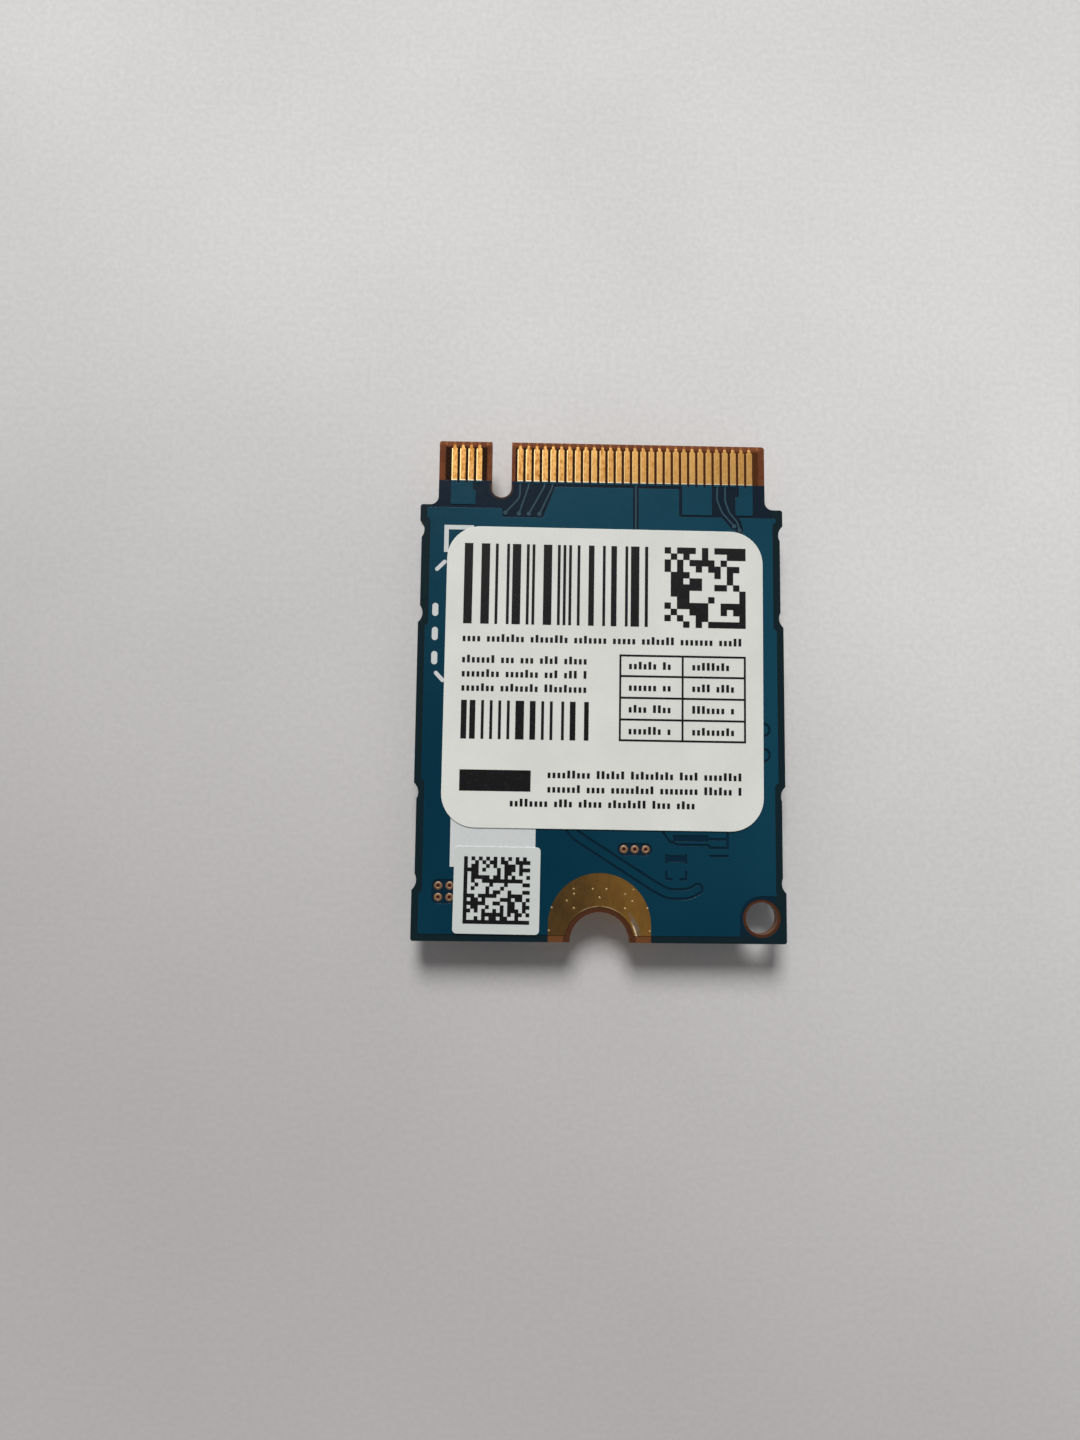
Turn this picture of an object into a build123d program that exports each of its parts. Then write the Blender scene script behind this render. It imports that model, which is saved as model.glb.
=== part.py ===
from build123d import *
import os
from dataclasses import dataclass
from math import atan2, degrees, hypot
from random import Random

# A 22 by 30 mm solid-state storage card that plugs into its socket by a row of edge contacts
# X runs across the card, Y along it towards the contacts and Z up, in millimetres
# It lies label side up on its memory package, with the origin on that face under the card's middle

# Card outline
board_width = 22.0
board_length = 30.0
laminate_thickness = 0.72
board_corner_radius = 0.15
shoulder_step = 1.075
tongue_length = 4.0
tongue_root_radius = 0.5
lead_in_length = 0.25
lead_in_depth = 0.1
key_width = 1.2
key_depth = 3.5
key_offset = 6.125
screw_notch_radius = 1.75
tooling_hole_radius = 0.94
tooling_hole_inset = 1.47

# Snapped-off panel tabs on the long sides: a drilled bite at each end of a recessed edge
tab_upper_place = 6.875
tab_lower_place = -8.95
tab_bite_spacing = 5.1
tab_bite_radius = 0.75
tab_bite_depth = 0.26
tab_recess_left_upper = 0.1
tab_recess_left_lower = 0.16
tab_recess_right_upper = 0.17
tab_recess_right_lower = 0.2

# Solder mask, and the copper that raises it
coat_thickness = 0.025
copper_thickness = 0.035
trace_rise = 0.02
mask_setback = 2.48
hole_bare_ring = 0.17
pour_edge_inset = 0.42
pour_tab_inset = 0.62
pour_tab_margin = 0.8
pour_hole_clearance = 0.36
pour_corner_radius = 0.12
pour_tab_corner_radius = 0.3
contact_pad_corner_radius = 0.08
contact_pad_notch = 0.2
contact_stub_length = 0.13
pour_left_top = 4.18
pour_middle_top = 2.8
pour_right_top = 4.53
pour_middle_left = -2.85
pour_middle_right = 4.68
trace_width = 0.1
trace_bend = 0.8
trace_pad_radius = 0.13
gap_width = 0.15

# Gold edge contacts
plating_thickness = 0.04
finger_pitch = 0.5
finger_width = 0.36
finger_neck_width = 0.18
finger_setback = 0.27
finger_neck_length = 0.14
finger_taper_length = 0.1
finger_key_clearance = 0.3
finger_edge_margin = 0.49

# Plated pad round the screw notch
screw_pad_radius = 3.02
screw_pad_centre_inset = 1.0
screw_pad_bare_ring = 0.3
screw_pad_end_inset = 0.4

# Plated test vias
via_hole_radius = 0.1
via_barrel_wall = 0.03
via_pad_radius = 0.23
via_mask_clearance = 0.03
via_bore_depth = 0.25
via_pocket_margin = 0.15
via_row_x = 2.05
via_row_inset = 5.41
via_row_count = 3
via_row_pitch = 0.645
via_square_x = -9.11
via_square_inset = 2.86
via_square_pitch = 0.67

# White legend print on the mask
legend_thickness = 0.012
legend_bracket_stroke = 0.27
legend_bracket_width = 1.78
legend_bracket_height = 1.67
legend_edge_inset = 1.47
legend_lead_inset = 5.28
legend_slash_width = 0.24
legend_upper_slash = [(0.05, 8.0), (0.5, 7.55)]
legend_lower_slash = [(0.12, 14.3), (0.52, 14.73)]
legend_dash_width = 0.36
legend_dash_length = 0.8
legend_dash_pitch = 1.46
legend_dash_count = 3
legend_dash_inset = 1.03
legend_dash_lead_inset = 10.47
legend_block_width = 5.0
legend_block_height = 3.6
legend_block_x = -6.3
legend_block_inset = 4.29

# Labels and their print
label_thickness = 0.08
label_edge_round = 0.025
label_width = 19.07
label_height = 18.08
label_corner_radius = 2.0
label_x = 0.18
label_end_inset = 6.54
label_turn = -0.24
code_label_size = 5.05
code_label_corner_radius = 0.25
code_label_x = -6.03
code_label_inset = 2.96
code_label_turn = -0.5
ink_thickness = 0.01
ink_margin = 1.05
code_cells = 18
code_cell = 0.215
code_cell_bleed = 0.004
text_tick_width = 0.17
text_tick_pitch = 0.29
text_tick_height = 0.46
text_line_pitch = 0.85
text_block_lines = 3
bar_module = 0.17
bar_height = 4.9
cell_field_cells = 13
cell_field_gap = 1.0
table_rule_width = 0.12
table_height = 5.2
table_rows = 4
table_columns = 2
column_gap = 1.8
small_bar_height = 2.3
solid_bar_width = 4.2
solid_bar_height = 1.25
last_line_inset = 3.0

# Memory package and its solder balls
package_width = 20.0
package_length = 16.0
package_height = 1.25
package_edge_round = 0.04
package_mark_radius = 0.45
package_mark_depth = 0.03
package_mark_inset = 1.2
ball_height = 0.22
ball_radius = 0.2
ball_pitch = 1.0
ball_edge_margin = 1.0
ball_ring_rows = 2
ball_core_columns = 7
ball_core_rows = 5

# Leadless power controller and voltage detector
controller_size = 4.0
controller_height = 0.75
controller_leads_per_side = 6
detector_size = 1.6
detector_height = 0.55
detector_leads_per_side = 3
lead_pitch = 0.5
lead_width = 0.25
lead_length = 0.4
lead_height = 0.2
heat_pad_inset = 0.8

# Chip parts: length, width, height and the length of each metal end
small_chip_length = 1.0
small_chip_width = 0.5
small_chip_end = 0.25
capacitor_height = 0.5
resistor_height = 0.35
large_chip_length = 1.6
large_chip_width = 0.8
large_chip_end = 0.35
large_capacitor_height = 0.8
fuse_height = 0.5
inductor_length = 2.0
inductor_width = 1.6
inductor_height = 1.0
inductor_end = 0.4
chip_body_inset = 0.02
crystal_length = 2.0
crystal_width = 1.6
crystal_base_height = 0.35
crystal_lid_height = 0.12
crystal_lid_inset = 0.12
crystal_land = 0.65
land_toe = 0.14

# Component layout on the under side
end_clearance = 0.4
block_clearance = 0.55
chip_clearance = 0.4
connector_row_pitch = 1.5
connector_row_small = 8
connector_row_resistors = 2
connector_row_start = -4.4
large_row_count = 2
large_row_pitch = 2.2
controller_column_pitch = 1.4
middle_row_count = 3
middle_row_pitch = 1.1
middle_row_start = -2.6
resistor_row_count = 4
resistor_row_pitch = 1.1
resistor_row_start = 4.3
crystal_x = 4.9
detector_x = 8.4
fuse_x = 9.5

# Levels, from the package's resting face up
front_face = package_height + ball_height
front_coat = coat_thickness + copper_thickness
laminate_low = front_face + front_coat
laminate_high = laminate_low + laminate_thickness
rear_face = laminate_high + coat_thickness + copper_thickness
label_top = rear_face + label_thickness

half_width = board_width / 2
half_length = board_length / 2
tongue_width = board_width - 2 * shoulder_step
label_y = label_end_inset - half_length + label_height / 2

# Contacts that fit across the tongue, with one fewer on the label side
finger_span = tongue_width - 2 * finger_edge_margin - finger_width
front_finger_places = int(finger_span / finger_pitch) + 1
rear_finger_places = front_finger_places - 1


def from_lead(distance):
    """Y of a line this far from the leading edge of the tongue."""
    return half_length - distance


def from_end(distance):
    """Y of a line this far from the screw end of the card."""
    return distance - half_length


def slab(sketch, low, high):
    """A flat plate of the sketch's outline between two levels."""
    return Pos(0, 0, low) * extrude(sketch, amount=high - low)


def block(x_low, x_high, y_low, y_high):
    """A rectangle by its limits."""
    middle = Pos((x_low + x_high) / 2, (y_low + y_high) / 2)
    return middle * Rectangle(x_high - x_low, y_high - y_low)


def stroke(points, width):
    """A line of one width with round ends and corners."""
    pieces = [Pos(x, y) * Circle(width / 2) for x, y in points]
    for (x0, y0), (x1, y1) in zip(points, points[1:]):
        middle = Pos((x0 + x1) / 2, (y0 + y1) / 2)
        turn = Rot(0, 0, degrees(atan2(y1 - y0, x1 - x0)))
        pieces.append(middle * turn * Rectangle(hypot(x1 - x0, y1 - y0), width))
    return Sketch() + pieces


def track(points, width, bend):
    """A line of one width with round ends that bends gently at its corners."""
    route = FilletPolyline(*points, radius=bend) if len(points) > 2 else Line(*points)
    return make_face(offset(route, amount=width / 2, side=Side.BOTH).edges())


def lead_points(points):
    """Points given as x and distance from the leading edge."""
    return [(x, from_lead(distance)) for x, distance in points]


def end_points(points):
    """Points given as x and distance from the screw end."""
    return [(x, from_end(distance)) for x, distance in points]


# Outlines shared by the laminate, the mask and the copper
def board_outline():
    """The card seen from above, with every notch and hole but the test vias."""
    shoulder = from_lead(tongue_length)
    body = block(-half_width, half_width, from_end(0), shoulder)
    tongue = block(-tongue_width / 2, tongue_width / 2, shoulder - tongue_length, half_length)
    outline = body + tongue
    at_shoulder = [corner for corner in outline.vertices() if abs(corner.Y - shoulder) < board_corner_radius]
    roots = [corner for corner in at_shoulder if abs(corner.X) < half_width - board_corner_radius]
    outline = fillet(roots, tongue_root_radius)
    side = half_width - board_corner_radius
    lead = half_length - board_corner_radius
    outer = [corner for corner in outline.vertices() if abs(corner.X) > side or corner.Y > lead]
    outline = fillet(outer, board_corner_radius)
    cuts = [key_slot(), screw_notch(), tooling_hole(tooling_hole_radius)]
    cuts += panel_tab(-1, tab_upper_place, tab_recess_left_upper)
    cuts += panel_tab(-1, tab_lower_place, tab_recess_left_lower)
    cuts += panel_tab(1, tab_upper_place, tab_recess_right_upper)
    cuts += panel_tab(1, tab_lower_place, tab_recess_right_lower)
    return outline - cuts


def key_slot():
    """The off-centre slot that keys the tongue to its socket."""
    bottom = from_lead(key_depth)
    round_end = Pos(-key_offset, bottom + key_width / 2) * Circle(key_width / 2)
    left = -key_offset - key_width / 2
    return round_end + block(left, left + key_width, bottom + key_width / 2, from_lead(-key_width))


def screw_notch():
    """The half-round notch that the holding screw sits in."""
    return Pos(0, from_end(0)) * Circle(screw_notch_radius)


def tooling_hole(radius):
    """A circle round the corner hole."""
    return Pos(half_width - tooling_hole_inset, from_end(tooling_hole_inset)) * Circle(radius)


def panel_tab(side, place, recess):
    """The two bites and the recessed edge left by one snapped-off tab."""
    bite_x = side * (half_width + tab_bite_radius - tab_bite_depth)
    reach = tab_bite_spacing / 2
    bites = [Pos(bite_x, place + step) * Circle(tab_bite_radius) for step in (-reach, reach)]
    edge = Pos(side * half_width, place) * Rectangle(2 * recess, tab_bite_spacing)
    return bites + [edge]


def screw_pad_opening():
    """The arch in the mask that bares the screw pad."""
    crown = Pos(0, from_end(screw_pad_centre_inset)) * Circle(screw_pad_radius)
    legs = block(-screw_pad_radius, screw_pad_radius, from_end(0), from_end(screw_pad_centre_inset))
    return (crown + legs) & block(-screw_pad_radius, screw_pad_radius, from_end(0), half_length)


def screw_pad_outline():
    """The plated part of that arch, clear of the notch and of the card's end."""
    notch = Pos(0, from_end(0)) * Circle(screw_notch_radius + screw_pad_bare_ring)
    end_strip = block(-half_width, half_width, from_end(-1), from_end(screw_pad_end_inset))
    return screw_pad_opening() - notch - end_strip


def via_places():
    """The middle of each test via."""
    first = via_row_x - via_row_pitch * (via_row_count - 1) / 2
    row = [(first + via_row_pitch * step, from_end(via_row_inset)) for step in range(via_row_count)]
    half = via_square_pitch / 2
    square_y = from_end(via_square_inset)
    square = [(via_square_x + dx, square_y + dy) for dx in (-half, half) for dy in (-half, half)]
    return row + square


def discs(places, radius):
    """One circle at each place."""
    return [Pos(x, y) * Circle(radius) for x, y in places]


def mask_outline():
    """The card's outline less what the mask leaves bare on either side."""
    covered = board_outline() & block(-half_width, half_width, from_end(0), from_lead(mask_setback))
    bare = [screw_pad_opening(), tooling_hole(tooling_hole_radius + hole_bare_ring)]
    return covered - bare - discs(via_places(), via_pad_radius + via_mask_clearance)


# Copper under the rear mask
left_pocket = (-6.05, -3.6, 4.73)
contact_pad_routes = [
    [(-9.18, 2.3), (-9.18, 3.97), (-7.69, 3.97), (-7.69, 3.08), (-7.87, 3.08), (-7.87, 2.3)],
    [(4.88, 2.3), (4.88, 4.4), (6.68, 4.4), (6.68, 2.3)],
    [(8.35, 2.3), (8.35, 3.25), (8.13, 3.25), (8.13, 4.38), (9.18, 4.38), (9.18, 2.3)],
]
left_traces = [
    [(-5.0, 2.5), (-5.0, 3.5), (-5.87, 4.45)],
    [(-4.47, 2.5), (-4.47, 2.75), (-5.05, 4.5)],
    [(-3.5, 2.5), (-3.5, 2.75), (-4.45, 4.5)],
    [(-3.03, 2.5), (-3.03, 2.8), (-3.8, 4.5)],
]
right_traces = [
    [(7.03, 2.5), (7.0, 3.4), (7.3, 4.2), (8.05, 5.05)],
    [(7.5, 2.5), (7.5, 3.5), (7.75, 4.2), (8.25, 4.8), (8.38, 5.3)],
]
right_trace_pocket = 0.46
middle_trace = [(2.05, 2.5), (2.05, 6.5)]
middle_trace_pocket = 0.34
wide_trace = [(-1.95, 6.9), (-1.5, 6.24), (-0.86, 5.82), (3.14, 3.3), (4.0, 2.84), (5.25, 2.84), (5.76, 3.16)]
wide_trace_width = 0.39
wide_trace_bend = 1.2
relief_pad = (3.91, 5.07, 3.7, 5.09)
relief_window = 0.4
fan_gap = [(3.7, 6.45), (4.1, 5.9), (4.6, 5.7), (6.4, 5.7), (6.5, 5.55), (7.53, 5.55), (7.53, 6.6)]
fan_band = (4.3, 6.4, 5.9, 6.28)
fan_line = [(6.4, 6.05), (7.4, 6.05)]
fan_dash = [(6.5, 5.07), (7.55, 5.07)]
ring_gaps = [(9.7, 12.55), (9.7, 11.05)]
ring_gap_radius = 0.45


def pour_body():
    """The wide ground pour, stepped along its top, set in from the card's edges."""
    reach = half_width - pour_edge_inset
    pocket_left, pocket_right, pocket_bottom = left_pocket
    top_line = [
        (reach, pour_right_top),
        (pour_middle_right, pour_right_top),
        (pour_middle_right, pour_middle_top),
        (pour_middle_left, pour_middle_top),
        (pocket_right, pocket_bottom),
        (pocket_left, pocket_bottom),
        (pocket_left, pour_left_top),
        (-reach, pour_left_top),
    ]
    low = from_end(pour_edge_inset)
    body = Polygon((-reach, low), (reach, low), *lead_points(top_line), align=None)
    body = fillet(body.vertices(), pour_corner_radius)
    tab_height = tab_bite_spacing + 2 * pour_tab_margin
    tab = RectangleRounded(2 * pour_tab_inset, tab_height, pour_tab_corner_radius)
    tabs = [
        Pos(side * half_width, place) * tab
        for side in (-1, 1)
        for place in (tab_upper_place, tab_lower_place)
    ]
    return body - tabs - [hole_corner()]


def hole_corner():
    """The corner beyond the tooling hole, where there is no copper."""
    hole_x = half_width - tooling_hole_inset
    hole_y = from_end(tooling_hole_inset)
    clear = tooling_hole_radius + pour_hole_clearance
    below = block(hole_x - clear, half_width, from_end(0), hole_y)
    beside = block(hole_x, half_width, hole_y, hole_y + clear)
    return tooling_hole(clear) + below + beside


def contact_copper():
    """The copper behind the contacts: a stub of each, and pads that join some, notched between them."""
    root = from_lead(mask_setback)
    reach = finger_width / 2
    places = finger_places(rear_finger_places)
    notches = [
        block(x + reach, x + finger_pitch - reach, root - contact_pad_notch, root + contact_pad_notch)
        for x in places
    ]
    pads = []
    for route in contact_pad_routes:
        pad = Polygon(*lead_points(route), align=None)
        pads.append(fillet(pad.vertices(), contact_pad_corner_radius) - notches)
    stubs = [block(x - reach, x + reach, root - contact_stub_length, root) for x in places]
    return pads + stubs


def via_pockets():
    """Bare laminate round the row and the square of test vias."""
    margin = via_pad_radius + via_pocket_margin
    row_width = via_row_pitch * (via_row_count - 1) + 2 * margin
    row = Pos(via_row_x, from_end(via_row_inset)) * SlotOverall(row_width, 2 * margin)
    side = via_square_pitch + 2 * margin
    square = Pos(via_square_x, from_end(via_square_inset)) * RectangleRounded(side, side, margin)
    return [row, square]


def relief_gaps():
    """The broken gap round a pad that is tied to the pour by three short necks."""
    left, right, low, high = relief_pad
    low, high = from_end(low), from_end(high)
    middle_x = (left + right) / 2
    middle_y = (low + high) / 2
    frame = stroke([(left, high), (left, low), (right, low), (right, high)], gap_width)
    sides = Pos(middle_x, middle_y) * Rectangle(right - left + 2 * gap_width, relief_window)
    foot = Pos(middle_x, low) * Rectangle(relief_window, 2 * gap_width)
    return [frame - sides - foot, block(left, right, high - relief_window, high)]


def pour_gaps():
    """Every gap and pocket that is cut in the pour."""
    cuts = via_pockets() + relief_gaps()
    cuts.append(track(lead_points(middle_trace), middle_trace_pocket, trace_bend))
    cuts += [track(lead_points(route), right_trace_pocket, trace_bend) for route in right_traces]
    wide_route = end_points(wide_trace)
    outer = track(wide_route, wide_trace_width + 2 * gap_width, wide_trace_bend)
    cuts.append(outer - track(wide_route, wide_trace_width, wide_trace_bend))
    cuts += [stroke(end_points(route), gap_width) for route in (fan_gap, fan_line, fan_dash)]
    left, right, low, high = fan_band
    cuts.append(block(left, right, from_end(low), from_end(high)))
    for x, y in end_points(ring_gaps):
        ring = Circle(ring_gap_radius) - Circle(ring_gap_radius - gap_width)
        cuts.append(Pos(x, y) * ring)
    return cuts


def copper_outline():
    """The wide copper that shows through the rear mask as raised ground."""
    copper = pour_body()
    for cut in pour_gaps():
        copper = copper - cut
    copper = Sketch() + ([copper] + contact_copper())
    return copper & mask_outline()


def trace_outline():
    """The narrow traces, over which the mask runs thin."""
    routes = [lead_points(route) for route in left_traces + right_traces + [middle_trace]]
    traces = [track(route, trace_width, trace_bend) for route in routes]
    ends = [route[-1] for route in routes]
    return (Sketch() + (traces + discs(ends, trace_pad_radius))) & mask_outline()


# The board and what is plated, coated or printed on it
def circuit_board():
    """The bare laminate, with a lead-in bevel on both sides of the leading edge."""
    outline = board_outline() - discs(via_places(), via_hole_radius + via_barrel_wall)
    board = slab(outline, laminate_low, laminate_high)
    return board - lead_in(laminate_high, -1) - lead_in(laminate_low, 1)


def lead_in(level, towards_core):
    """The wedge that bevels one side of the leading edge."""
    start = from_lead(lead_in_length)
    slope = lead_in_depth / lead_in_length
    reach = 2 * lead_in_length
    wedge = Polygon(
        (start, level),
        (start + reach, level + towards_core * slope * reach),
        (start + reach, level),
        align=None,
    )
    return extrude(Plane.YZ * wedge, amount=half_width, both=True)


def solder_mask_rear():
    """The mask that shows: thin over bare laminate, raised over copper and less so over the narrow traces."""
    base = slab(mask_outline(), laminate_high, laminate_high + coat_thickness)
    traces = slab(trace_outline(), laminate_high, laminate_high + coat_thickness + trace_rise)
    return base + traces + slab(copper_outline(), laminate_high, rear_face)


def solder_mask_front(lands):
    """The mask on the component side, open at every solder land."""
    return slab(mask_outline() - lands, front_face, laminate_low)


def finger_places(places):
    """X of each contact along the tongue, apart from those that the key slot takes."""
    first = -finger_pitch * (places - 1) / 2
    row = [first + finger_pitch * step for step in range(places)]
    return [x for x in row if abs(x + key_offset) > key_width / 2 + finger_key_clearance]


def finger_outlines(places):
    """One contact at each place."""
    root = from_lead(mask_setback)
    tip = from_lead(finger_setback)
    neck = tip - finger_neck_length
    shoulder = neck - finger_taper_length
    wide = finger_width / 2
    narrow = finger_neck_width / 2
    right = [(wide, root), (wide, shoulder), (narrow, neck), (narrow, tip)]
    points = right + [(-x, y) for x, y in reversed(right)]
    return [Pos(x, 0) * Polygon(*points, align=None) for x in finger_places(places)]


def group(solids):
    """Separate solids kept together as one piece."""
    return Compound(children=[solid for item in solids for solid in item.solids()])


def contact_fingers_rear():
    """The contacts on the label side."""
    fingers = finger_outlines(rear_finger_places)
    return group([slab(finger, laminate_high, laminate_high + plating_thickness) for finger in fingers])


def contact_fingers_front():
    """The contacts on the component side, half a pitch over."""
    fingers = finger_outlines(front_finger_places)
    return group([slab(finger, laminate_low - plating_thickness, laminate_low) for finger in fingers])


def test_vias():
    """Each test via as a plugged barrel with a pad and a blind bore at both ends."""
    height = laminate_thickness + 2 * plating_thickness
    low = laminate_low - plating_thickness
    vias = []
    for x, y in via_places():
        at_via = Pos(x, y)
        barrel = slab(at_via * Circle(via_hole_radius + via_barrel_wall), low, low + height)
        lower_pad = slab(at_via * Circle(via_pad_radius), low, laminate_low)
        upper_pad = slab(at_via * Circle(via_pad_radius), laminate_high, low + height)
        lower_bore = slab(at_via * Circle(via_hole_radius), low, low + via_bore_depth)
        upper_bore = slab(at_via * Circle(via_hole_radius), low + height - via_bore_depth, low + height)
        vias.append(barrel + lower_pad + upper_pad - lower_bore - upper_bore)
    return group(vias)


def legend_outlines():
    """The white marks: a corner bracket, two slashes, a column of dashes and a block."""
    left = -half_width + legend_edge_inset
    top = from_lead(legend_lead_inset)
    bracket = block(left, left + legend_bracket_stroke, top - legend_bracket_height, top)
    bracket += block(left, left + legend_bracket_width, top - legend_bracket_stroke, top)
    dash_x = -half_width + legend_dash_inset
    slashes = [
        stroke([(dash_x + x, from_lead(distance)) for x, distance in route], legend_slash_width)
        for route in (legend_upper_slash, legend_lower_slash)
    ]
    dash = SlotOverall(legend_dash_length, legend_dash_width, rotation=90)
    dash_top = from_lead(legend_dash_lead_inset)
    dash_rows = [dash_top - legend_dash_pitch * step for step in range(legend_dash_count)]
    dashes = [Pos(dash_x, y) * dash for y in dash_rows]
    panel_middle = from_end(legend_block_inset) + legend_block_height / 2
    panel = Pos(legend_block_x, panel_middle) * Rectangle(legend_block_width, legend_block_height)
    return [bracket, panel] + slashes + dashes


def legend_print():
    """The white ink on the rear mask."""
    return group([slab(mark, rear_face, rear_face + legend_thickness) for mark in legend_outlines()])


def sticker(outline, legend):
    """A label with a softened upper edge, bedded over the legend print that it covers."""
    label = slab(outline, rear_face, label_top)
    label = fillet(label.edges().group_by(Axis.Z)[-1], label_edge_round)
    return label - legend


def turned(sketches, x, y, angle):
    """Outlines turned about a point, as a label that was stuck on by hand."""
    turn = Pos(x, y) * Rot(0, 0, angle) * Pos(-x, -y)
    return [turn * sketch for sketch in sketches]


def main_label_outline():
    """The large label in the middle of the card."""
    turn = Rot(0, 0, label_turn)
    return Pos(label_x, label_y) * turn * RectangleRounded(label_width, label_height, label_corner_radius)


def code_label_outline():
    """The small square label beside the screw pad."""
    square = RectangleRounded(code_label_size, code_label_size, code_label_corner_radius)
    return Pos(code_label_x, from_end(code_label_inset)) * Rot(0, 0, code_label_turn) * square


def ink(outlines):
    """A printed layer on top of a label."""
    return group([slab(outline, label_top, label_top + ink_thickness) for outline in outlines])


def bar_field(left, right, low, high, seed):
    """Upright bars of mixed widths between two limits."""
    draw = Random(seed)
    bars = []
    x = left
    while x < right:
        width = bar_module * draw.choice((1, 1, 2, 3))
        bars.append(block(x, min(x + width, right), low, high))
        x += width + bar_module * draw.choice((1, 2, 2, 3))
    return bars


def tick_line(left, right, middle, seed):
    """A row of short strokes in word-like groups, standing for a line of small print."""
    draw = Random(seed)
    ticks = []
    x = left
    until_gap = draw.randint(4, 9)
    while x + text_tick_width < right:
        if until_gap:
            height = text_tick_height * draw.choice((0.7, 0.7, 1.0))
            low = middle - text_tick_height / 2
            ticks.append(block(x, x + text_tick_width, low, low + height))
            until_gap -= 1
        else:
            until_gap = draw.randint(3, 9)
        x += text_tick_pitch
    return ticks


def cell_field(left, low, cells, cell, seed, bordered):
    """A square field of filled and empty cells, drawn as runs along each row."""
    draw = Random(seed)
    last = cells - 1
    runs = []
    for row in range(cells):
        filled = [draw.random() < 0.5 for column in range(cells)]
        if bordered:
            filled = [True] + filled[1:last] + [row % 2 == 0]
        if bordered and row == 0:
            filled = [True] * cells
        if bordered and row == last:
            filled = [column % 2 == 0 for column in range(cells)]
        start = None
        for column, mark in enumerate(filled + [False]):
            if mark and start is None:
                start = column
            if not mark and start is not None:
                runs.append((row, start, column))
                start = None
    marks = [
        block(
            left + cell * start - code_cell_bleed,
            left + cell * stop + code_cell_bleed,
            low + cell * row - code_cell_bleed,
            low + cell * (row + 1) + code_cell_bleed,
        )
        for row, start, stop in runs
    ]
    return list((Sketch() + marks).faces())


def ruled_table(left, right, low, high, seed):
    """Ruled lines round a grid of cells, with a few strokes in each cell."""
    rule = table_rule_width
    frame = block(left, right, low, high) - block(left + rule, right - rule, low + rule, high - rule)
    row_height = (high - low) / table_rows
    column_width = (right - left) / table_columns
    for row in range(1, table_rows):
        y = low + row_height * row
        frame += block(left, right, y - rule / 2, y + rule / 2)
    for column in range(1, table_columns):
        x = left + column_width * column
        frame += block(x - rule / 2, x + rule / 2, low, high)
    marks = [frame]
    inset = 2 * text_tick_pitch
    for row in range(table_rows):
        for column in range(table_columns):
            cell_left = left + column_width * column + inset
            cell_right = left + column_width * (column + 1) - inset
            middle = low + row_height * (row + 0.5)
            marks += tick_line(cell_left, cell_right, middle, seed + row * table_columns + column)
    return marks


def main_label_print():
    """Plain bars, strokes, cells and rules, laid out as on any such label."""
    left = label_x - label_width / 2 + ink_margin
    right = label_x + label_width / 2 - ink_margin
    top = label_y + label_height / 2 - ink_margin
    low = label_y - label_height / 2 + ink_margin
    bars_low = top - bar_height
    marks = bar_field(left, right - bar_height - cell_field_gap, bars_low, top, 11)
    cell = bar_height / cell_field_cells
    marks += cell_field(right - bar_height, bars_low, cell_field_cells, cell, 23, False)
    first_line = bars_low - text_line_pitch
    marks += tick_line(left, right, first_line, 31)
    table_high = first_line - text_line_pitch
    table_low = table_high - table_height
    table_left = label_x + column_gap / 2
    marks += ruled_table(table_left, right, table_low, table_high, 41)
    text_right = label_x - column_gap / 2
    for line in range(text_block_lines):
        marks += tick_line(left, text_right, table_high - text_line_pitch * (line + 0.5), 61 + line)
    marks += bar_field(left, text_right, table_low, table_low + small_bar_height, 71)
    last_line = low + text_tick_height
    marks += tick_line(left + last_line_inset, right - last_line_inset, last_line, 81)
    solid_right = left + solid_bar_width
    for line in (1, 2):
        marks += tick_line(solid_right + cell_field_gap, right, last_line + text_line_pitch * line, 82 + line)
    solid_middle = last_line + text_line_pitch * 1.5
    marks.append(Pos((left + solid_right) / 2, solid_middle) * Rectangle(solid_bar_width, solid_bar_height))
    return ink(turned(marks, label_x, label_y, label_turn))


def code_label_print():
    """A square field of cells with two solid and two stepped borders."""
    side = code_cells * code_cell
    middle = from_end(code_label_inset)
    cells = cell_field(code_label_x - side / 2, middle - side / 2, code_cells, code_cell, 5, True)
    return ink(turned(cells, code_label_x, middle, code_label_turn))


# The memory package and its joints to the board
def package_middle():
    """Y of the package's middle: it lies above the power blocks, which stack up from the card's end."""
    stack = end_clearance + inductor_width + block_clearance + controller_size + block_clearance
    return from_end(stack + package_length / 2)


def memory_package():
    """The sealed package that the card lies on, with a dimple at its first corner."""
    body = slab(Pos(0, package_middle()) * Rectangle(package_width, package_length), 0, package_height)
    body = fillet(body.edges().filter_by(Axis.Z), package_edge_round)
    mark_x = package_width / 2 - package_mark_inset
    mark_y = package_middle() + package_length / 2 - package_mark_inset
    return body - slab(Pos(mark_x, mark_y) * Circle(package_mark_radius), 0, package_mark_depth)


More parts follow.
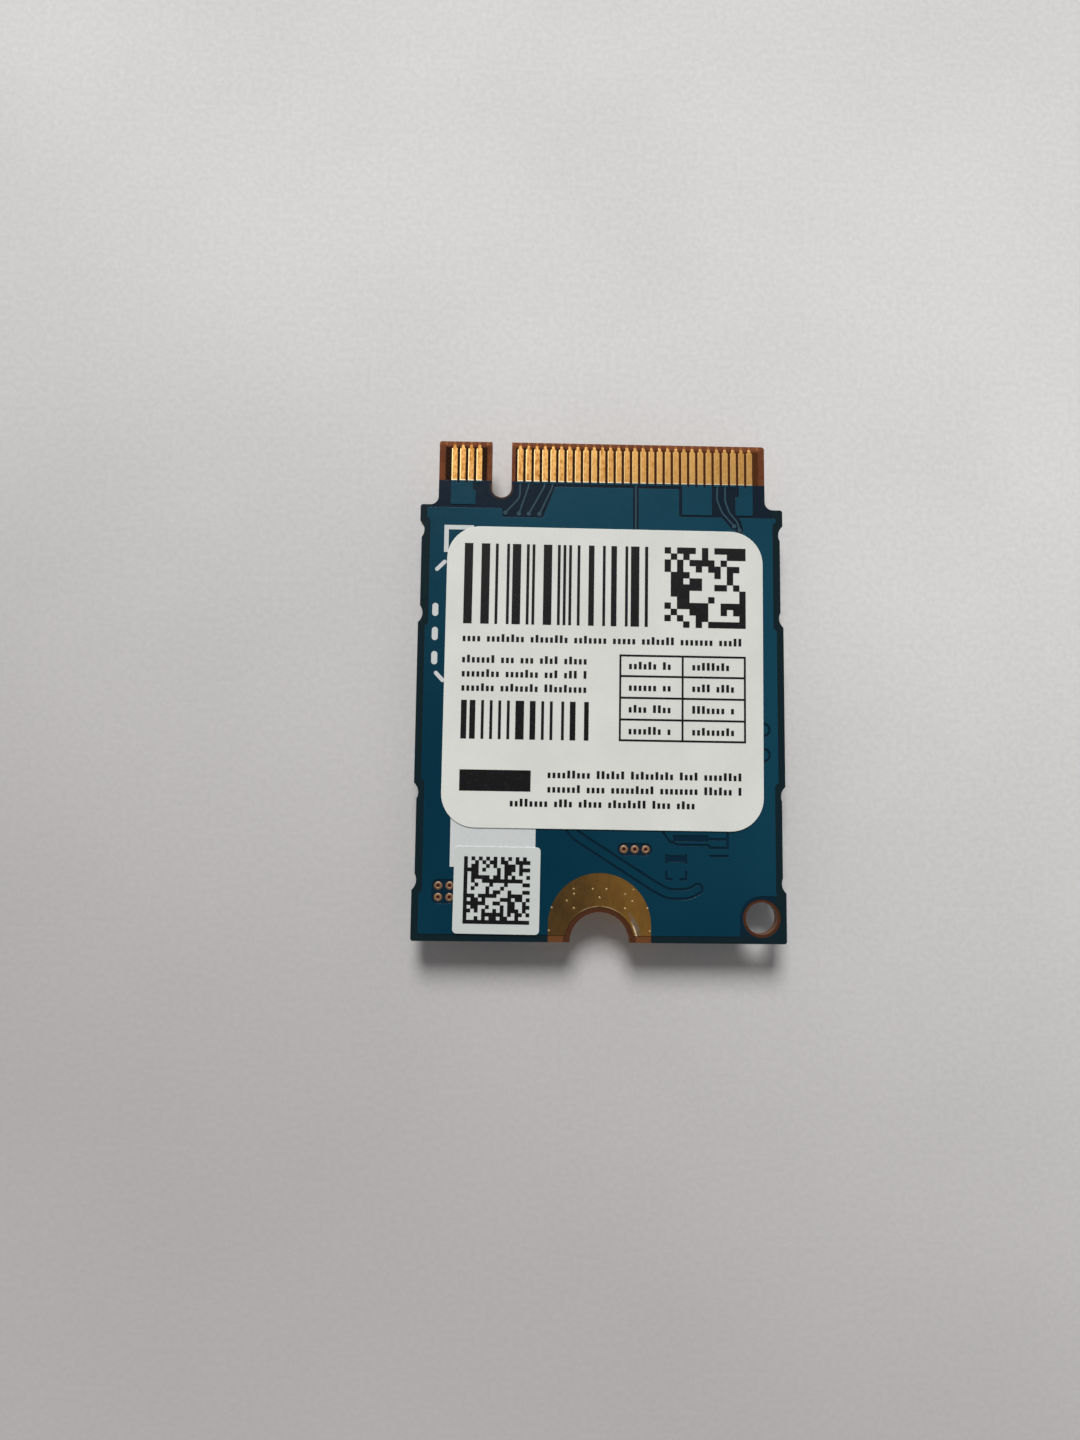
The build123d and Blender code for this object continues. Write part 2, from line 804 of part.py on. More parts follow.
def package_solder_balls():
    """Eight-sided columns for the pressed balls: outer rows, and a block under the middle."""
    columns = int((package_width - 2 * ball_edge_margin) / ball_pitch) + 1
    rows = int((package_length - 2 * ball_edge_margin) / ball_pitch) + 1
    ball = RegularPolygon(ball_radius, 8)
    balls = []
    for column in range(columns):
        for row in range(rows):
            from_edge = min(column, row, columns - 1 - column, rows - 1 - row)
            across = abs(column - (columns - 1) / 2)
            along = abs(row - (rows - 1) / 2)
            in_core = across <= (ball_core_columns - 1) / 2 and along <= (ball_core_rows - 1) / 2
            if from_edge < ball_ring_rows or in_core:
                x = ball_pitch * (column - (columns - 1) / 2)
                y = package_middle() + ball_pitch * (row - (rows - 1) / 2)
                balls.append(slab(Pos(x, y) * ball, package_height, front_face))
    return group(balls)


# Leadless parts and chip parts on the under side
@dataclass
class Leadless:
    """A square leadless package with leads on two or four of its sides."""

    name: str
    x: float
    y: float
    size: float
    height: float
    leads_per_side: int
    turns: tuple

    def at_leads(self, length, width, outward):
        """A rectangle at every lead, from outside the body's edge inwards."""
        first = -lead_pitch * (self.leads_per_side - 1) / 2
        middle = self.size / 2 + outward - length / 2
        shapes = []
        for turn in self.turns:
            for step in range(self.leads_per_side):
                lead = Pos(first + lead_pitch * step, middle) * Rectangle(width, length)
                shapes.append(Pos(self.x, self.y) * Rot(0, 0, turn) * lead)
        return shapes

    def lands(self):
        """The solder lands under the leads and the heat pad."""
        heat_side = self.size - 2 * heat_pad_inset
        heat_pad = Pos(self.x, self.y) * Rectangle(heat_side, heat_side)
        shapes = self.at_leads(lead_length + land_toe, lead_width, land_toe)
        return shapes + ([heat_pad] if heat_side > lead_length else [])

    def leads(self):
        """The metal leads, flush with the body's sides and under face."""
        outlines = self.at_leads(lead_length, lead_width, 0)
        return group([slab(outline, front_face - lead_height, front_face) for outline in outlines])

    def body(self):
        """The moulded body round the leads."""
        square = Pos(self.x, self.y) * Rectangle(self.size, self.size)
        return slab(square, front_face - self.height, front_face) - self.leads()


@dataclass
class Chip:
    """A two-ended chip part, lengthwise along X unless it is turned."""

    name: str
    x: float
    y: float
    length: float
    width: float
    height: float
    end: float
    turned: bool = False

    def place(self):
        """The chip's place and turn on the board."""
        return Pos(self.x, self.y) * Rot(0, 0, 90 if self.turned else 0)

    def lands(self):
        """The two solder lands, which reach out past the chip's ends."""
        land = Rectangle(self.end + land_toe, self.width)
        middle = (self.length - self.end + land_toe) / 2
        return [self.place() * Pos(side * middle, 0) * land for side in (-1, 1)]

    def body(self):
        """The slightly thinner body between two metal ends, as one solid."""
        inset = chip_body_inset
        core = Rectangle(self.length - self.end, self.width - 2 * inset)
        chip = slab(core, front_face - self.height + inset, front_face - inset)
        middle = (self.length - self.end) / 2
        for side in (-1, 1):
            end = Pos(side * middle, 0) * Rectangle(self.end, self.width)
            chip += slab(end, front_face - self.height, front_face)
        return self.place() * chip


def capacitor(number, x, y, turned=False):
    """A small capacitor."""
    name = f"capacitor_{number:02d}"
    return Chip(name, x, y, small_chip_length, small_chip_width, capacitor_height, small_chip_end, turned)


def large_capacitor(number, x, y, turned=False):
    """A large storage capacitor."""
    name = f"capacitor_{number:02d}"
    height = large_capacitor_height
    return Chip(name, x, y, large_chip_length, large_chip_width, height, large_chip_end, turned)


def resistor(number, x, y, turned=False):
    """A small resistor."""
    name = f"resistor_{number}"
    return Chip(name, x, y, small_chip_length, small_chip_width, resistor_height, small_chip_end, turned)


def inductor(number, x, y):
    """A moulded power inductor."""
    name = f"inductor_{number}"
    return Chip(name, x, y, inductor_length, inductor_width, inductor_height, inductor_end)


# Lines that the component blocks are placed by
power_right = -screw_pad_radius - block_clearance
inductor_row_y = from_end(end_clearance + inductor_width / 2)
controller_x = power_right - inductor_length - chip_clearance / 2 - land_toe
controller_y = inductor_row_y + (inductor_width + controller_size) / 2 + block_clearance
package_low = package_middle() - package_length / 2
package_high = package_middle() + package_length / 2
crystal_y = package_low - block_clearance - crystal_width / 2
detector_y = package_low - block_clearance - detector_size / 2


def connector_row():
    """Chips between the package and the contacts."""
    large_y = package_high + chip_clearance + large_chip_width / 2
    small_y = package_high + chip_clearance + small_chip_width / 2
    chips = []
    for step in range(large_row_count):
        x = connector_row_start - large_row_pitch * (step + 1) + chip_clearance / 2
        chips.append(large_capacitor(1 + step, x, large_y))
    for step in range(connector_row_small):
        x = connector_row_start + connector_row_pitch * step
        chips.append(capacitor(1 + large_row_count + step, x, small_y))
    for step in range(connector_row_resistors):
        x = connector_row_start + connector_row_pitch * (connector_row_small + step)
        chips.append(resistor(1 + step, x, small_y))
    return chips


def power_block():
    """Inductors and storage capacitors round the power controller."""
    reach = inductor_length + chip_clearance + 2 * land_toe
    first_x = power_right - inductor_length / 2
    chips = [inductor(1, first_x, inductor_row_y), inductor(2, first_x - reach, inductor_row_y)]
    chips.append(inductor(3, screw_pad_radius + block_clearance + inductor_length / 2, inductor_row_y))
    number = 1 + large_row_count + connector_row_small
    column_x = controller_x - controller_size / 2 - block_clearance - land_toe - large_chip_length / 2
    column_top = package_low - block_clearance - large_chip_width / 2
    for step in range(2):
        chips.append(large_capacitor(number + step, column_x, column_top - controller_column_pitch * step))
    end_x = first_x - reach - inductor_length / 2 - block_clearance - large_chip_width / 2
    end_y = from_end(end_clearance + large_chip_length / 2)
    chips.append(large_capacitor(number + 2, end_x, end_y, True))
    return chips


def signal_block():
    """Small chips between the screw pad and the package, and round the clock crystal."""
    number = 4 + large_row_count + connector_row_small
    row_y = package_low - block_clearance - small_chip_length / 2
    chips = []
    for step in range(middle_row_count):
        x = middle_row_start + middle_row_pitch * step
        chips.append(capacitor(number + step, x, row_y, True))
    lower_y = from_end(end_clearance + small_chip_length)
    lower_x = screw_pad_radius + 2 * block_clearance + inductor_length + small_chip_width
    for step in range(2):
        x = lower_x + middle_row_pitch * step
        chips.append(capacitor(number + middle_row_count + step, x, lower_y, True))
    resistor_y = crystal_y - crystal_width / 2 - block_clearance - small_chip_length / 2
    for step in range(resistor_row_count):
        x = resistor_row_start + resistor_row_pitch * step
        chips.append(resistor(1 + connector_row_resistors + step, x, resistor_y, True))
    fuse_y = detector_y - detector_size / 2 - block_clearance - large_chip_length / 2
    length, width, end = large_chip_length, large_chip_width, large_chip_end
    return chips + [Chip("chip_fuse", fuse_x, fuse_y, length, width, fuse_height, end, True)]


def crystal_lands():
    """The four corner lands of the clock crystal."""
    reach_x = (crystal_length - crystal_land) / 2 + land_toe
    reach_y = (crystal_width - crystal_land) / 2 + land_toe
    land = Pos(crystal_x, crystal_y) * Rectangle(crystal_land, crystal_land)
    return [Pos(sx * reach_x, sy * reach_y) * land for sx in (-1, 1) for sy in (-1, 1)]


def clock_crystal():
    """A ceramic base with a metal lid set on it."""
    base = Pos(crystal_x, crystal_y) * Rectangle(crystal_length, crystal_width)
    lid_length = crystal_length - 2 * crystal_lid_inset
    lid_width = crystal_width - 2 * crystal_lid_inset
    lid = Pos(crystal_x, crystal_y) * Rectangle(lid_length, lid_width)
    base_low = front_face - crystal_base_height
    return slab(base, base_low, front_face) + slab(lid, base_low - crystal_lid_height, base_low)


def build():
    """Every piece of the card by its name."""
    chips = connector_row() + power_block() + signal_block()
    four_sides = (0, 90, 180, 270)
    controller = Leadless(
        "power_controller", controller_x, controller_y, controller_size, controller_height,
        controller_leads_per_side, four_sides,
    )
    detector = Leadless(
        "voltage_detector", detector_x, detector_y, detector_size, detector_height,
        detector_leads_per_side, four_sides[::2],
    )
    leadless = [controller, detector]
    lands = [land for part in chips + leadless for land in part.lands()] + crystal_lands()
    legend = legend_print()
    pieces = {
        "circuit_board": circuit_board(),
        "solder_mask_rear": solder_mask_rear(),
        "solder_mask_front": solder_mask_front(lands),
        "contact_fingers_rear": contact_fingers_rear(),
        "contact_fingers_front": contact_fingers_front(),
        "screw_pad_rear": slab(screw_pad_outline(), laminate_high, laminate_high + plating_thickness),
        "screw_pad_front": slab(screw_pad_outline(), laminate_low - plating_thickness, laminate_low),
        "test_vias": test_vias(),
        "legend_print": legend,
        "main_label": sticker(main_label_outline(), legend),
        "main_label_print": main_label_print(),
        "code_label": sticker(code_label_outline(), legend),
        "code_label_print": code_label_print(),
        "memory_package": memory_package(),
        "package_solder_balls": package_solder_balls(),
        "solder_lands": group([slab(land, front_face, laminate_low) for land in lands]),
        "clock_crystal": clock_crystal(),
    }
    for part in leadless:
        pieces[part.name] = part.body()
        pieces[f"{part.name}_leads"] = part.leads()
    for chip in chips:
        pieces[chip.name] = chip.body()
    return pieces


os.makedirs("parts", exist_ok=True)
for name, piece in build().items():
    export_step(piece, f"parts/{name}.step")
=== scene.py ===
"""Looks of a small plug-in storage card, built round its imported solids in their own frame.

Lengths in the classes below are in millimetres, and the frame is in metres.
"""

import logging
import math
from dataclasses import dataclass, field
from enum import Enum
from random import Random
from typing import Callable, ClassVar, Optional, Union

import bmesh
import bpy
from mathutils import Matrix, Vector


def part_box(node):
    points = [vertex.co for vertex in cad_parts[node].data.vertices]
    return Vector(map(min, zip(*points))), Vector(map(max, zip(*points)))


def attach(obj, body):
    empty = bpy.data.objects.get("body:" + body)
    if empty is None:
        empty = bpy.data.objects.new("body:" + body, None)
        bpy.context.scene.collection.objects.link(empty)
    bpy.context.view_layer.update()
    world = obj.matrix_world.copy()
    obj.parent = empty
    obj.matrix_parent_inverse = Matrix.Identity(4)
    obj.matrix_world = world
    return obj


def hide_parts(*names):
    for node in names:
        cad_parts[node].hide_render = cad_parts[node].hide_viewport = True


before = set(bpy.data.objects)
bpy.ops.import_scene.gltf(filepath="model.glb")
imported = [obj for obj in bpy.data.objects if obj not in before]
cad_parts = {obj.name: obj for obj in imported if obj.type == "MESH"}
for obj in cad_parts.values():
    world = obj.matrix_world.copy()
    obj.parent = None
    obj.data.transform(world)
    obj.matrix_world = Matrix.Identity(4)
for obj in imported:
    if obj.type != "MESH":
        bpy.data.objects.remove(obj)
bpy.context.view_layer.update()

LOG = logging.getLogger("card")
MM = 0.001
BODY = "root"
UPWARDS = Vector((0, 0, 1))
BEVEL_SAMPLES = 6
MICRON_DIGITS = 3

# Tolerances of a place, and of a direction along or across an axis
HAIR = 1e-8
SLIVER = 0.0005
NEAR = 0.001
ALONG = 0.9
ACROSS = 0.1

Socket = bpy.types.NodeSocket
Node = bpy.types.Node
Piece = bpy.types.Object
Colour = tuple[float, float, float, float]
Value = Union[float, tuple, Socket]
Place = Callable[[Vector, Vector], bool]
Box = tuple[Vector, Vector]
Span = tuple[float, float]
Point = tuple[float, float]
Patch = tuple[float, float, float, float]


def tint(red: int, green: int, blue: int) -> Colour:
    """A linear colour from its eight-bit display values, by the standard display curve.

    Args:
        red: Red from 0 to 255.
        green: Green from 0 to 255.
        blue: Blue from 0 to 255.

    Returns:
        The colour with full alpha.
    """
    shares = [part / 255 for part in (red, green, blue)]
    linear = [c / 12.92 if c <= 0.04045 else ((c + 0.055) / 1.055) ** 2.4 for c in shares]
    return (linear[0], linear[1], linear[2], 1.0)


class Slot(Enum):
    """Material slots of the part's record."""

    CONTACT_GOLD = "contact_gold"
    PACKAGE_MOULD = "package_mould"
    SOLDER = "solder"
    INDUCTOR = "inductor_body"
    CRYSTAL = "crystal_can"
    FUSE = "fuse_body"
    CAPACITOR = "capacitor_body"
    RESISTOR = "resistor_body"
    LEGEND = "legend_ink"
    MASK = "solder_mask"


class Side(Enum):
    """The card's two faces, with the half turns that lay a piece made for the rear on each."""

    REAR = 0
    FRONT = 1

    @property
    def word(self) -> str:
        """The face's name as nodes and pieces have it."""
        return self.name.lower()

    @property
    def turn(self) -> Vector:
        """The angles that lay a piece on the face."""
        return Vector((0, math.pi * self.value, 0))


class Part(Enum):
    """What a pick selects."""

    FACE = "FACE"
    EDGE = "EDGE"


class Effect(Enum):
    """Surface effects shared by several finishes, each one node group."""

    GRAIN = "grain"
    STREAKS = "streaks"
    RIM = "rim"
    FLECKS = "flecks"


class Contrast(Enum):
    """Where in a noise an effect starts, and where it is full."""

    FAINT = (0.2, 0.8)
    EVEN = (0.25, 0.75)
    SOFT = (0.3, 0.7)
    FULL = (0.3, 0.6)
    FIRM = (0.35, 0.65)
    RUBBED = (0.35, 0.68)
    PATCHY = (0.38, 0.66)
    RAGGED = (0.25, 0.5)
    SPARSE = (0.5, 0.78)


class Sheet:
    """A node tree being drawn, in a material or in an effect."""

    def __init__(self, tree: bpy.types.NodeTree) -> None:
        """Takes up the tree to draw in."""
        self.tree = tree

    def feed(self, socket: Socket, value: Value) -> None:
        """Links or sets one input.

        Args:
            socket: The input.
            value: An output to link, or a plain value.
        """
        if isinstance(value, Socket):
            self.tree.links.new(value, socket)
        else:
            socket.default_value = value

    def wire(self, node: Node, inputs: dict) -> None:
        """Feeds a node's inputs, by name or number."""
        for name, value in inputs.items():
            self.feed(node.inputs[name], value)

    def add(self, kind: str, inputs: Optional[dict] = None, **settings: object) -> Node:
        """Adds a node.

        Args:
            kind: The node's type.
            inputs: Values or outputs by input name or number.
            settings: The node's own properties.

        Returns:
            The node.
        """
        node = self.tree.nodes.new(kind)
        for name, value in settings.items():
            setattr(node, name, value)
        self.wire(node, inputs or {})
        return node

    def millimetres(self) -> Socket:
        """Object coordinates in millimetres."""
        place = self.add("ShaderNodeTexCoord").outputs["Object"]
        return self.add("ShaderNodeVectorMath", {0: place, "Scale": 1 / MM}, operation="SCALE").outputs[0]

    def axes(self, vector: Socket) -> tuple[Socket, Socket, Socket]:
        """The three numbers of a vector."""
        split = self.add("ShaderNodeSeparateXYZ", {0: vector})
        return split.outputs[0], split.outputs[1], split.outputs[2]

    def upness(self) -> Socket:
        """How far the surface looks up, from -1 to 1."""
        return self.axes(self.add("ShaderNodeNewGeometry").outputs["True Normal"])[2]

    def stretch(self, vector: Socket, x: Value, y: Value, z: Value) -> Socket:
        """A vector with each axis multiplied."""
        scale = self.add("ShaderNodeCombineXYZ", {0: x, 1: y, 2: z}).outputs[0]
        return self.add("ShaderNodeVectorMath", {0: vector, 1: scale}, operation="MULTIPLY").outputs[0]

    def measure(self, operation: str, first: Socket, second: Value) -> Socket:
        """One number worked out from two vectors."""
        node = self.add("ShaderNodeVectorMath", {0: first, 1: second}, operation=operation)
        return node.outputs["Value"]

    def reach(self, vector: Socket, x: float, y: float) -> Socket:
        """How far a place is from a point of the plan."""
        return self.measure("DISTANCE", self.stretch(vector, 1.0, 1.0, 0.0), (x, y, 0.0))

    def noise(self, vector: Socket, scale: Value, detail: float = 3.0) -> Socket:
        """Soft noise from 0 to 1."""
        inputs = {"Vector": vector, "Scale": scale, "Detail": detail}
        return self.add("ShaderNodeTexNoise", inputs).outputs[0]

    def work(self, operation: str, first: Value, second: Value = 0.0) -> Socket:
        """One sum of two numbers."""
        return self.add("ShaderNodeMath", {0: first, 1: second}, operation=operation).outputs[0]

    def times(self, first: Value, second: Value) -> Socket:
        """Two numbers multiplied."""
        return self.work("MULTIPLY", first, second)

    def weigh(self, first: Socket, second: Socket, shares: Span) -> Socket:
        """Two numbers added, each times its share."""
        return self.work("ADD", self.times(first, shares[0]), self.times(second, shares[1]))

    def fit(self, value: Socket, low: Value, high: Value, start: Value = 0.0, end: Value = 1.0) -> Socket:
        """A number eased from one range into another.

        Args:
            value: The number.
            low: Where the easing starts.
            high: Where it ends.
            start: What it gives at low.
            end: What it gives at high.

        Returns:
            The eased number.
        """
        inputs = {"Value": value, "From Min": low, "From Max": high, "To Min": start, "To Max": end}
        return self.add("ShaderNodeMapRange", inputs, interpolation_type="SMOOTHSTEP").outputs[0]

    def ease(self, share: Socket, start: Value, end: Value) -> Socket:
        """A share from 0 to 1 eased into a range."""
        return self.fit(share, 0.0, 1.0, start, end)

    def within(self, value: Socket, low: float, high: float, soft: float) -> Socket:
        """One between two limits and nothing outside them.

        Args:
            value: The number.
            low: The lower limit.
            high: The upper limit.
            soft: How far each side of a limit it eases.

        Returns:
            The share.
        """
        rise = self.fit(value, low - soft, low + soft)
        fall = self.fit(value, high - soft, high + soft, 1.0, 0.0)
        return self.times(rise, fall)

    def mix(self, share: Value, low: Value, high: Value) -> Socket:
        """Two colours mixed by a share of the second."""
        return self.add("ShaderNodeMix", {0: share, 6: low, 7: high}, data_type="RGBA").outputs[2]

    def glaze(self, tone: Socket, colour: Colour, where: Socket, cover: float) -> Socket:
        """A tone with a colour laid over it in places, at a cover."""
        return self.mix(self.times(where, cover), tone, colour)

    def effect(self, effect: Effect, contrast: Optional[Contrast] = None, **inputs: Value) -> Socket:
        """A shared effect with this material's own values.

        Args:
            effect: Which effect.
            contrast: How its noise is used, if it has one.
            inputs: Its other inputs by name, in lower case.

        Returns:
            How strong the effect is at each point.
        """
        named = {name.title(): value for name, value in inputs.items()}
        if contrast is not None:
            named["Low"], named["High"] = contrast.value
        return self.add("ShaderNodeGroup", named, node_tree=EffectShelf.tree(effect)).outputs["Amount"]

    def grain(self, density: float, contrast: Contrast) -> Socket:
        """Even grain, with so many grains to the millimetre."""
        return self.effect(Effect.GRAIN, contrast, density=density)

    def bump(
        self, height: Socket, depth: float, strength: float = 1.0, normal: Optional[Socket] = None
    ) -> Socket:
        """A normal bent by a height.

        Args:
            height: Height from 0 to 1.
            depth: What a height of 1 is.
            strength: Share of the bend that is used.
            normal: The normal to start from, if it isn't the surface's own.

        Returns:
            The bent normal.
        """
        inputs = {"Height": height, "Distance": depth * MM, "Strength": strength}
        if normal is not None:
            inputs["Normal"] = normal
        return self.add("ShaderNodeBump", inputs).outputs[0]

    def soft_edges(self, radius: Value) -> Socket:
        """The surface's normal with its edges rounded, to a radius in metres."""
        return self.add("ShaderNodeBevel", {"Radius": radius}, samples=BEVEL_SAMPLES).outputs[0]


class EffectShelf:
    """The node groups of the shared effects, each built at its first use."""

    grain_detail: ClassVar[float] = 4.0
    edge_turn: ClassVar[Span] = (0.995, 0.8)
    fleck_core: ClassVar[float] = 0.5

    @classmethod
    def tree(cls, effect: Effect) -> bpy.types.NodeTree:
        """The effect's node group."""
        found = bpy.data.node_groups.get(effect.value)
        return found if found is not None else cls.build(effect)

    @classmethod
    def build(cls, effect: Effect) -> bpy.types.NodeTree:
        """Draws an effect.

        Args:
            effect: Which effect.

        Returns:
            Its node group.
        """
        draw, inputs = {
            Effect.GRAIN: (cls.grain, ("Density", "Low", "High")),
            Effect.STREAKS: (cls.streaks, ("Across", "Along", "Low", "High")),
            Effect.RIM: (cls.rim, ("Radius", "Density", "Low", "High")),
            Effect.FLECKS: (cls.flecks, ("Density", "Share", "Size")),
        }[effect]
        tree = bpy.data.node_groups.new(effect.value, "ShaderNodeTree")
        for name in inputs:
            tree.interface.new_socket(name=name, in_out="INPUT", socket_type="NodeSocketFloat")
        tree.interface.new_socket(name="Amount", in_out="OUTPUT", socket_type="NodeSocketFloat")
        sheet = Sheet(tree)
        given = sheet.add("NodeGroupInput").outputs
        sheet.add("NodeGroupOutput", {"Amount": draw(sheet, given)})
        return tree

    @classmethod
    def grain(cls, sheet: Sheet, given: bpy.types.NodeOutputs) -> Socket:
        """Even grain, with so many grains to the millimetre."""
        noise = sheet.noise(sheet.millimetres(), given["Density"], cls.grain_detail)
        return sheet.fit(noise, given["Low"], given["High"])

    @classmethod
    def streaks(cls, sheet: Sheet, given: bpy.types.NodeOutputs) -> Socket:
        """Fine lines along the card, as rubbing leaves them.

        Args:
            sheet: The group's tree.
            given: Its inputs.

        Returns:
            How strong the lines are.
        """
        across, along = given["Across"], given["Along"]
        noise = sheet.noise(sheet.stretch(sheet.millimetres(), across, along, across), 1.0)
        return sheet.fit(noise, given["Low"], given["High"])

    @classmethod
    def rim(cls, sheet: Sheet, given: bpy.types.NodeOutputs) -> Socket:
        """Edges, broken up by grain.

        Args:
            sheet: The group's tree.
            given: Its inputs.

        Returns:
            How strong the edges are.
        """
        turned = sheet.soft_edges(sheet.times(given["Radius"], MM))
        flat = sheet.add("ShaderNodeNewGeometry").outputs["True Normal"]
        edge = sheet.fit(sheet.measure("DOT_PRODUCT", turned, flat), *cls.edge_turn)
        grain = sheet.noise(sheet.millimetres(), given["Density"])
        return sheet.times(edge, sheet.fit(grain, given["Low"], given["High"]))

    @classmethod
    def flecks(cls, sheet: Sheet, given: bpy.types.NodeOutputs) -> Socket:
        """Scattered specks in a share of small cells.

        Args:
            sheet: The group's tree.
            given: Its inputs.

        Returns:
            How strong the specks are.
        """
        inputs = {"Vector": sheet.millimetres(), "Scale": given["Density"]}
        cells = sheet.add("ShaderNodeTexVoronoi", inputs)
        draw = sheet.axes(cells.outputs["Color"])[0]
        chosen = sheet.work("LESS_THAN", draw, given["Share"])
        core = sheet.times(given["Size"], cls.fleck_core)
        return sheet.times(chosen, sheet.fit(cells.outputs["Distance"], given["Size"], core))


@dataclass(frozen=True)
class Finish:
    """A surface finish, made into a material at its first use."""

    name: str
    made: ClassVar[dict[str, bpy.types.Material]] = {}

    def material(self) -> bpy.types.Material:
        """Makes the finish's material, or finds it.

        Returns:
            The material.
        """
        if self.name not in self.made:
            material = bpy.data.materials.new(f"{self.name}_finish")
            material.use_nodes = True
            self.made[self.name] = material
            self.paint(Sheet(material.node_tree), material.node_tree.nodes["Principled BSDF"])
        return self.made[self.name]

    def paint(self, sheet: Sheet, shader: Node) -> None:
        """Draws the finish.

        Args:
            sheet: The material's tree.
            shader: Its surface shader.
        """
        raise NotImplementedError


@dataclass(frozen=True)
class LaminateFinish(Finish):
    """Brown glass laminate: woven on its faces, layered on its sawn edges."""

    margin: Colour = tint(112, 63, 36)
    margin_deep: Colour = tint(92, 49, 29)
    # inner: dark over the buried plane, deepened as painted shade in the gaps between the contacts;
    # inner_lit: painted light towards the right
    inner: Colour = tint(26, 8, 1)
    inner_lit: Colour = tint(72, 36, 12)
    # darker laminate round the holes
    scorched: Colour = tint(68, 38, 23)
    end_strip: Colour = tint(98, 60, 34)
    drilled_wall: Colour = tint(86, 48, 36)
    tail: Colour = tint(150, 98, 54)
    thread: Colour = tint(150, 104, 70)
    layer_light: Colour = tint(121, 105, 79)
    layer_dark: Colour = tint(104, 89, 66)
    ply_seam: Colour = tint(76, 62, 46)
    plane_left: Span = (-9.55, -7.02)
    plane_right: Span = (-5.3, 9.55)
    plane_reach: Span = (11.0, 14.62)
    plane_soft: Span = (0.06, 0.05)
    lit_reach: Span = (-6.0, 9.0)
    drilled: tuple[tuple[float, float, float], ...] = ((0.0, -15.0, 2.1), (9.53, -13.53, 1.15))
    ring_width: float = 0.08
    wall_cover: float = 0.7
    strip_start: Span = (-13.9, -14.1)
    tail_start: Span = (14.72, 14.75)
    tail_pitch: float = 0.5
    tail_edge: Span = (0.07, 0.04)
    tail_cover: float = 0.6
    mottle: float = 1.6
    weave_pitch: float = 0.3
    weave_cover: float = 0.06
    lowest: float = 1.53
    ply: float = 0.12
    seam_edge: Span = (0.014, 0.004)
    seam_cover: float = 0.5
    bundles: tuple[float, float, float] = (5.0, 5.0, 15.0)
    bundle_edge: Span = (0.4, 0.64)
    bundle_detail: float = 1.0
    glass_shares: Span = (0.5, 0.5)
    sawn: float = 11.0
    level_turn: Span = (0.55, 0.85)
    rough: Span = (0.55, 0.72)
    specular: float = 0.05
    relief: float = 0.0015

    def rings(self, sheet: Sheet, place: Socket) -> Socket:
        """Where the laminate is darker round a hole.

        Args:
            sheet: The material's tree.
            place: Place in millimetres.

        Returns:
            How strong the darkening is.
        """
        rings = []
        for x, y, radius in self.drilled:
            rings.append(sheet.fit(sheet.reach(place, x, y), radius + self.ring_width, radius))
        return sheet.work("MAXIMUM", *rings)

    def cut_side(self, sheet: Sheet, place: Socket, sawn: Socket) -> Socket:
        """The tone of a sawn side: the cut ends of the glass, the saw's grain and straight seams.

        Args:
            sheet: The material's tree.
            place: Place in millimetres.
            sawn: The saw's grain.

        Returns:
            The tone.
        """
        noise = sheet.noise(sheet.stretch(place, *self.bundles), 1.0, self.bundle_detail)
        glass = sheet.fit(noise, *self.bundle_edge)
        share = sheet.weigh(glass, sawn, self.glass_shares)
        tone = sheet.mix(share, self.layer_dark, self.layer_light)
        height = sheet.work("SUBTRACT", sheet.axes(place)[2], self.lowest)
        seam = sheet.fit(sheet.work("PINGPONG", height, self.ply / 2), *self.seam_edge)
        return sheet.glaze(tone, self.ply_seam, seam, self.seam_cover)

    def tails(self, sheet: Sheet, place: Socket, up: Socket) -> Socket:
        """Cut ends of the plating tails, one ahead of each contact and half a pitch over on the front.

        Args:
            sheet: The material's tree.
            place: Place in millimetres.
            up: How far the surface looks up.

        Returns:
            Where the tails are.
        """
        x, y, _ = sheet.axes(place)
        half = self.tail_pitch / 2
        shifted = sheet.work("ADD", x, sheet.times(sheet.work("LESS_THAN", up, 0.0), half))
        line = sheet.fit(sheet.work("PINGPONG", shifted, half), *self.tail_edge)
        return sheet.times(line, sheet.fit(y, *self.tail_start))

    def plane(self, sheet: Sheet, x: Socket, y: Socket) -> Socket:
        """Where copper lies buried behind the contacts.

        Args:
            sheet: The material's tree.
            x: Place across the card.
            y: Place along the card.

        Returns:
            Where the plane is.
        """
        soft_side, soft_end = self.plane_soft
        sides = [sheet.within(x, *span, soft_side) for span in (self.plane_left, self.plane_right)]
        return sheet.times(sheet.work("ADD", *sides), sheet.within(y, *self.plane_reach, soft_end))

    def weave(self, sheet: Sheet, x: Socket, y: Socket) -> Socket:
        """The glass cloth's weave.

        Args:
            sheet: The material's tree.
            x: Place across the card.
            y: Place along the card.

        Returns:
            The weave's height.
        """
        turn = 2 * math.pi / self.weave_pitch
        warp, weft = (sheet.work("SINE", sheet.times(place, turn)) for place in (x, y))
        return sheet.fit(sheet.times(warp, weft), -1.0, 1.0)

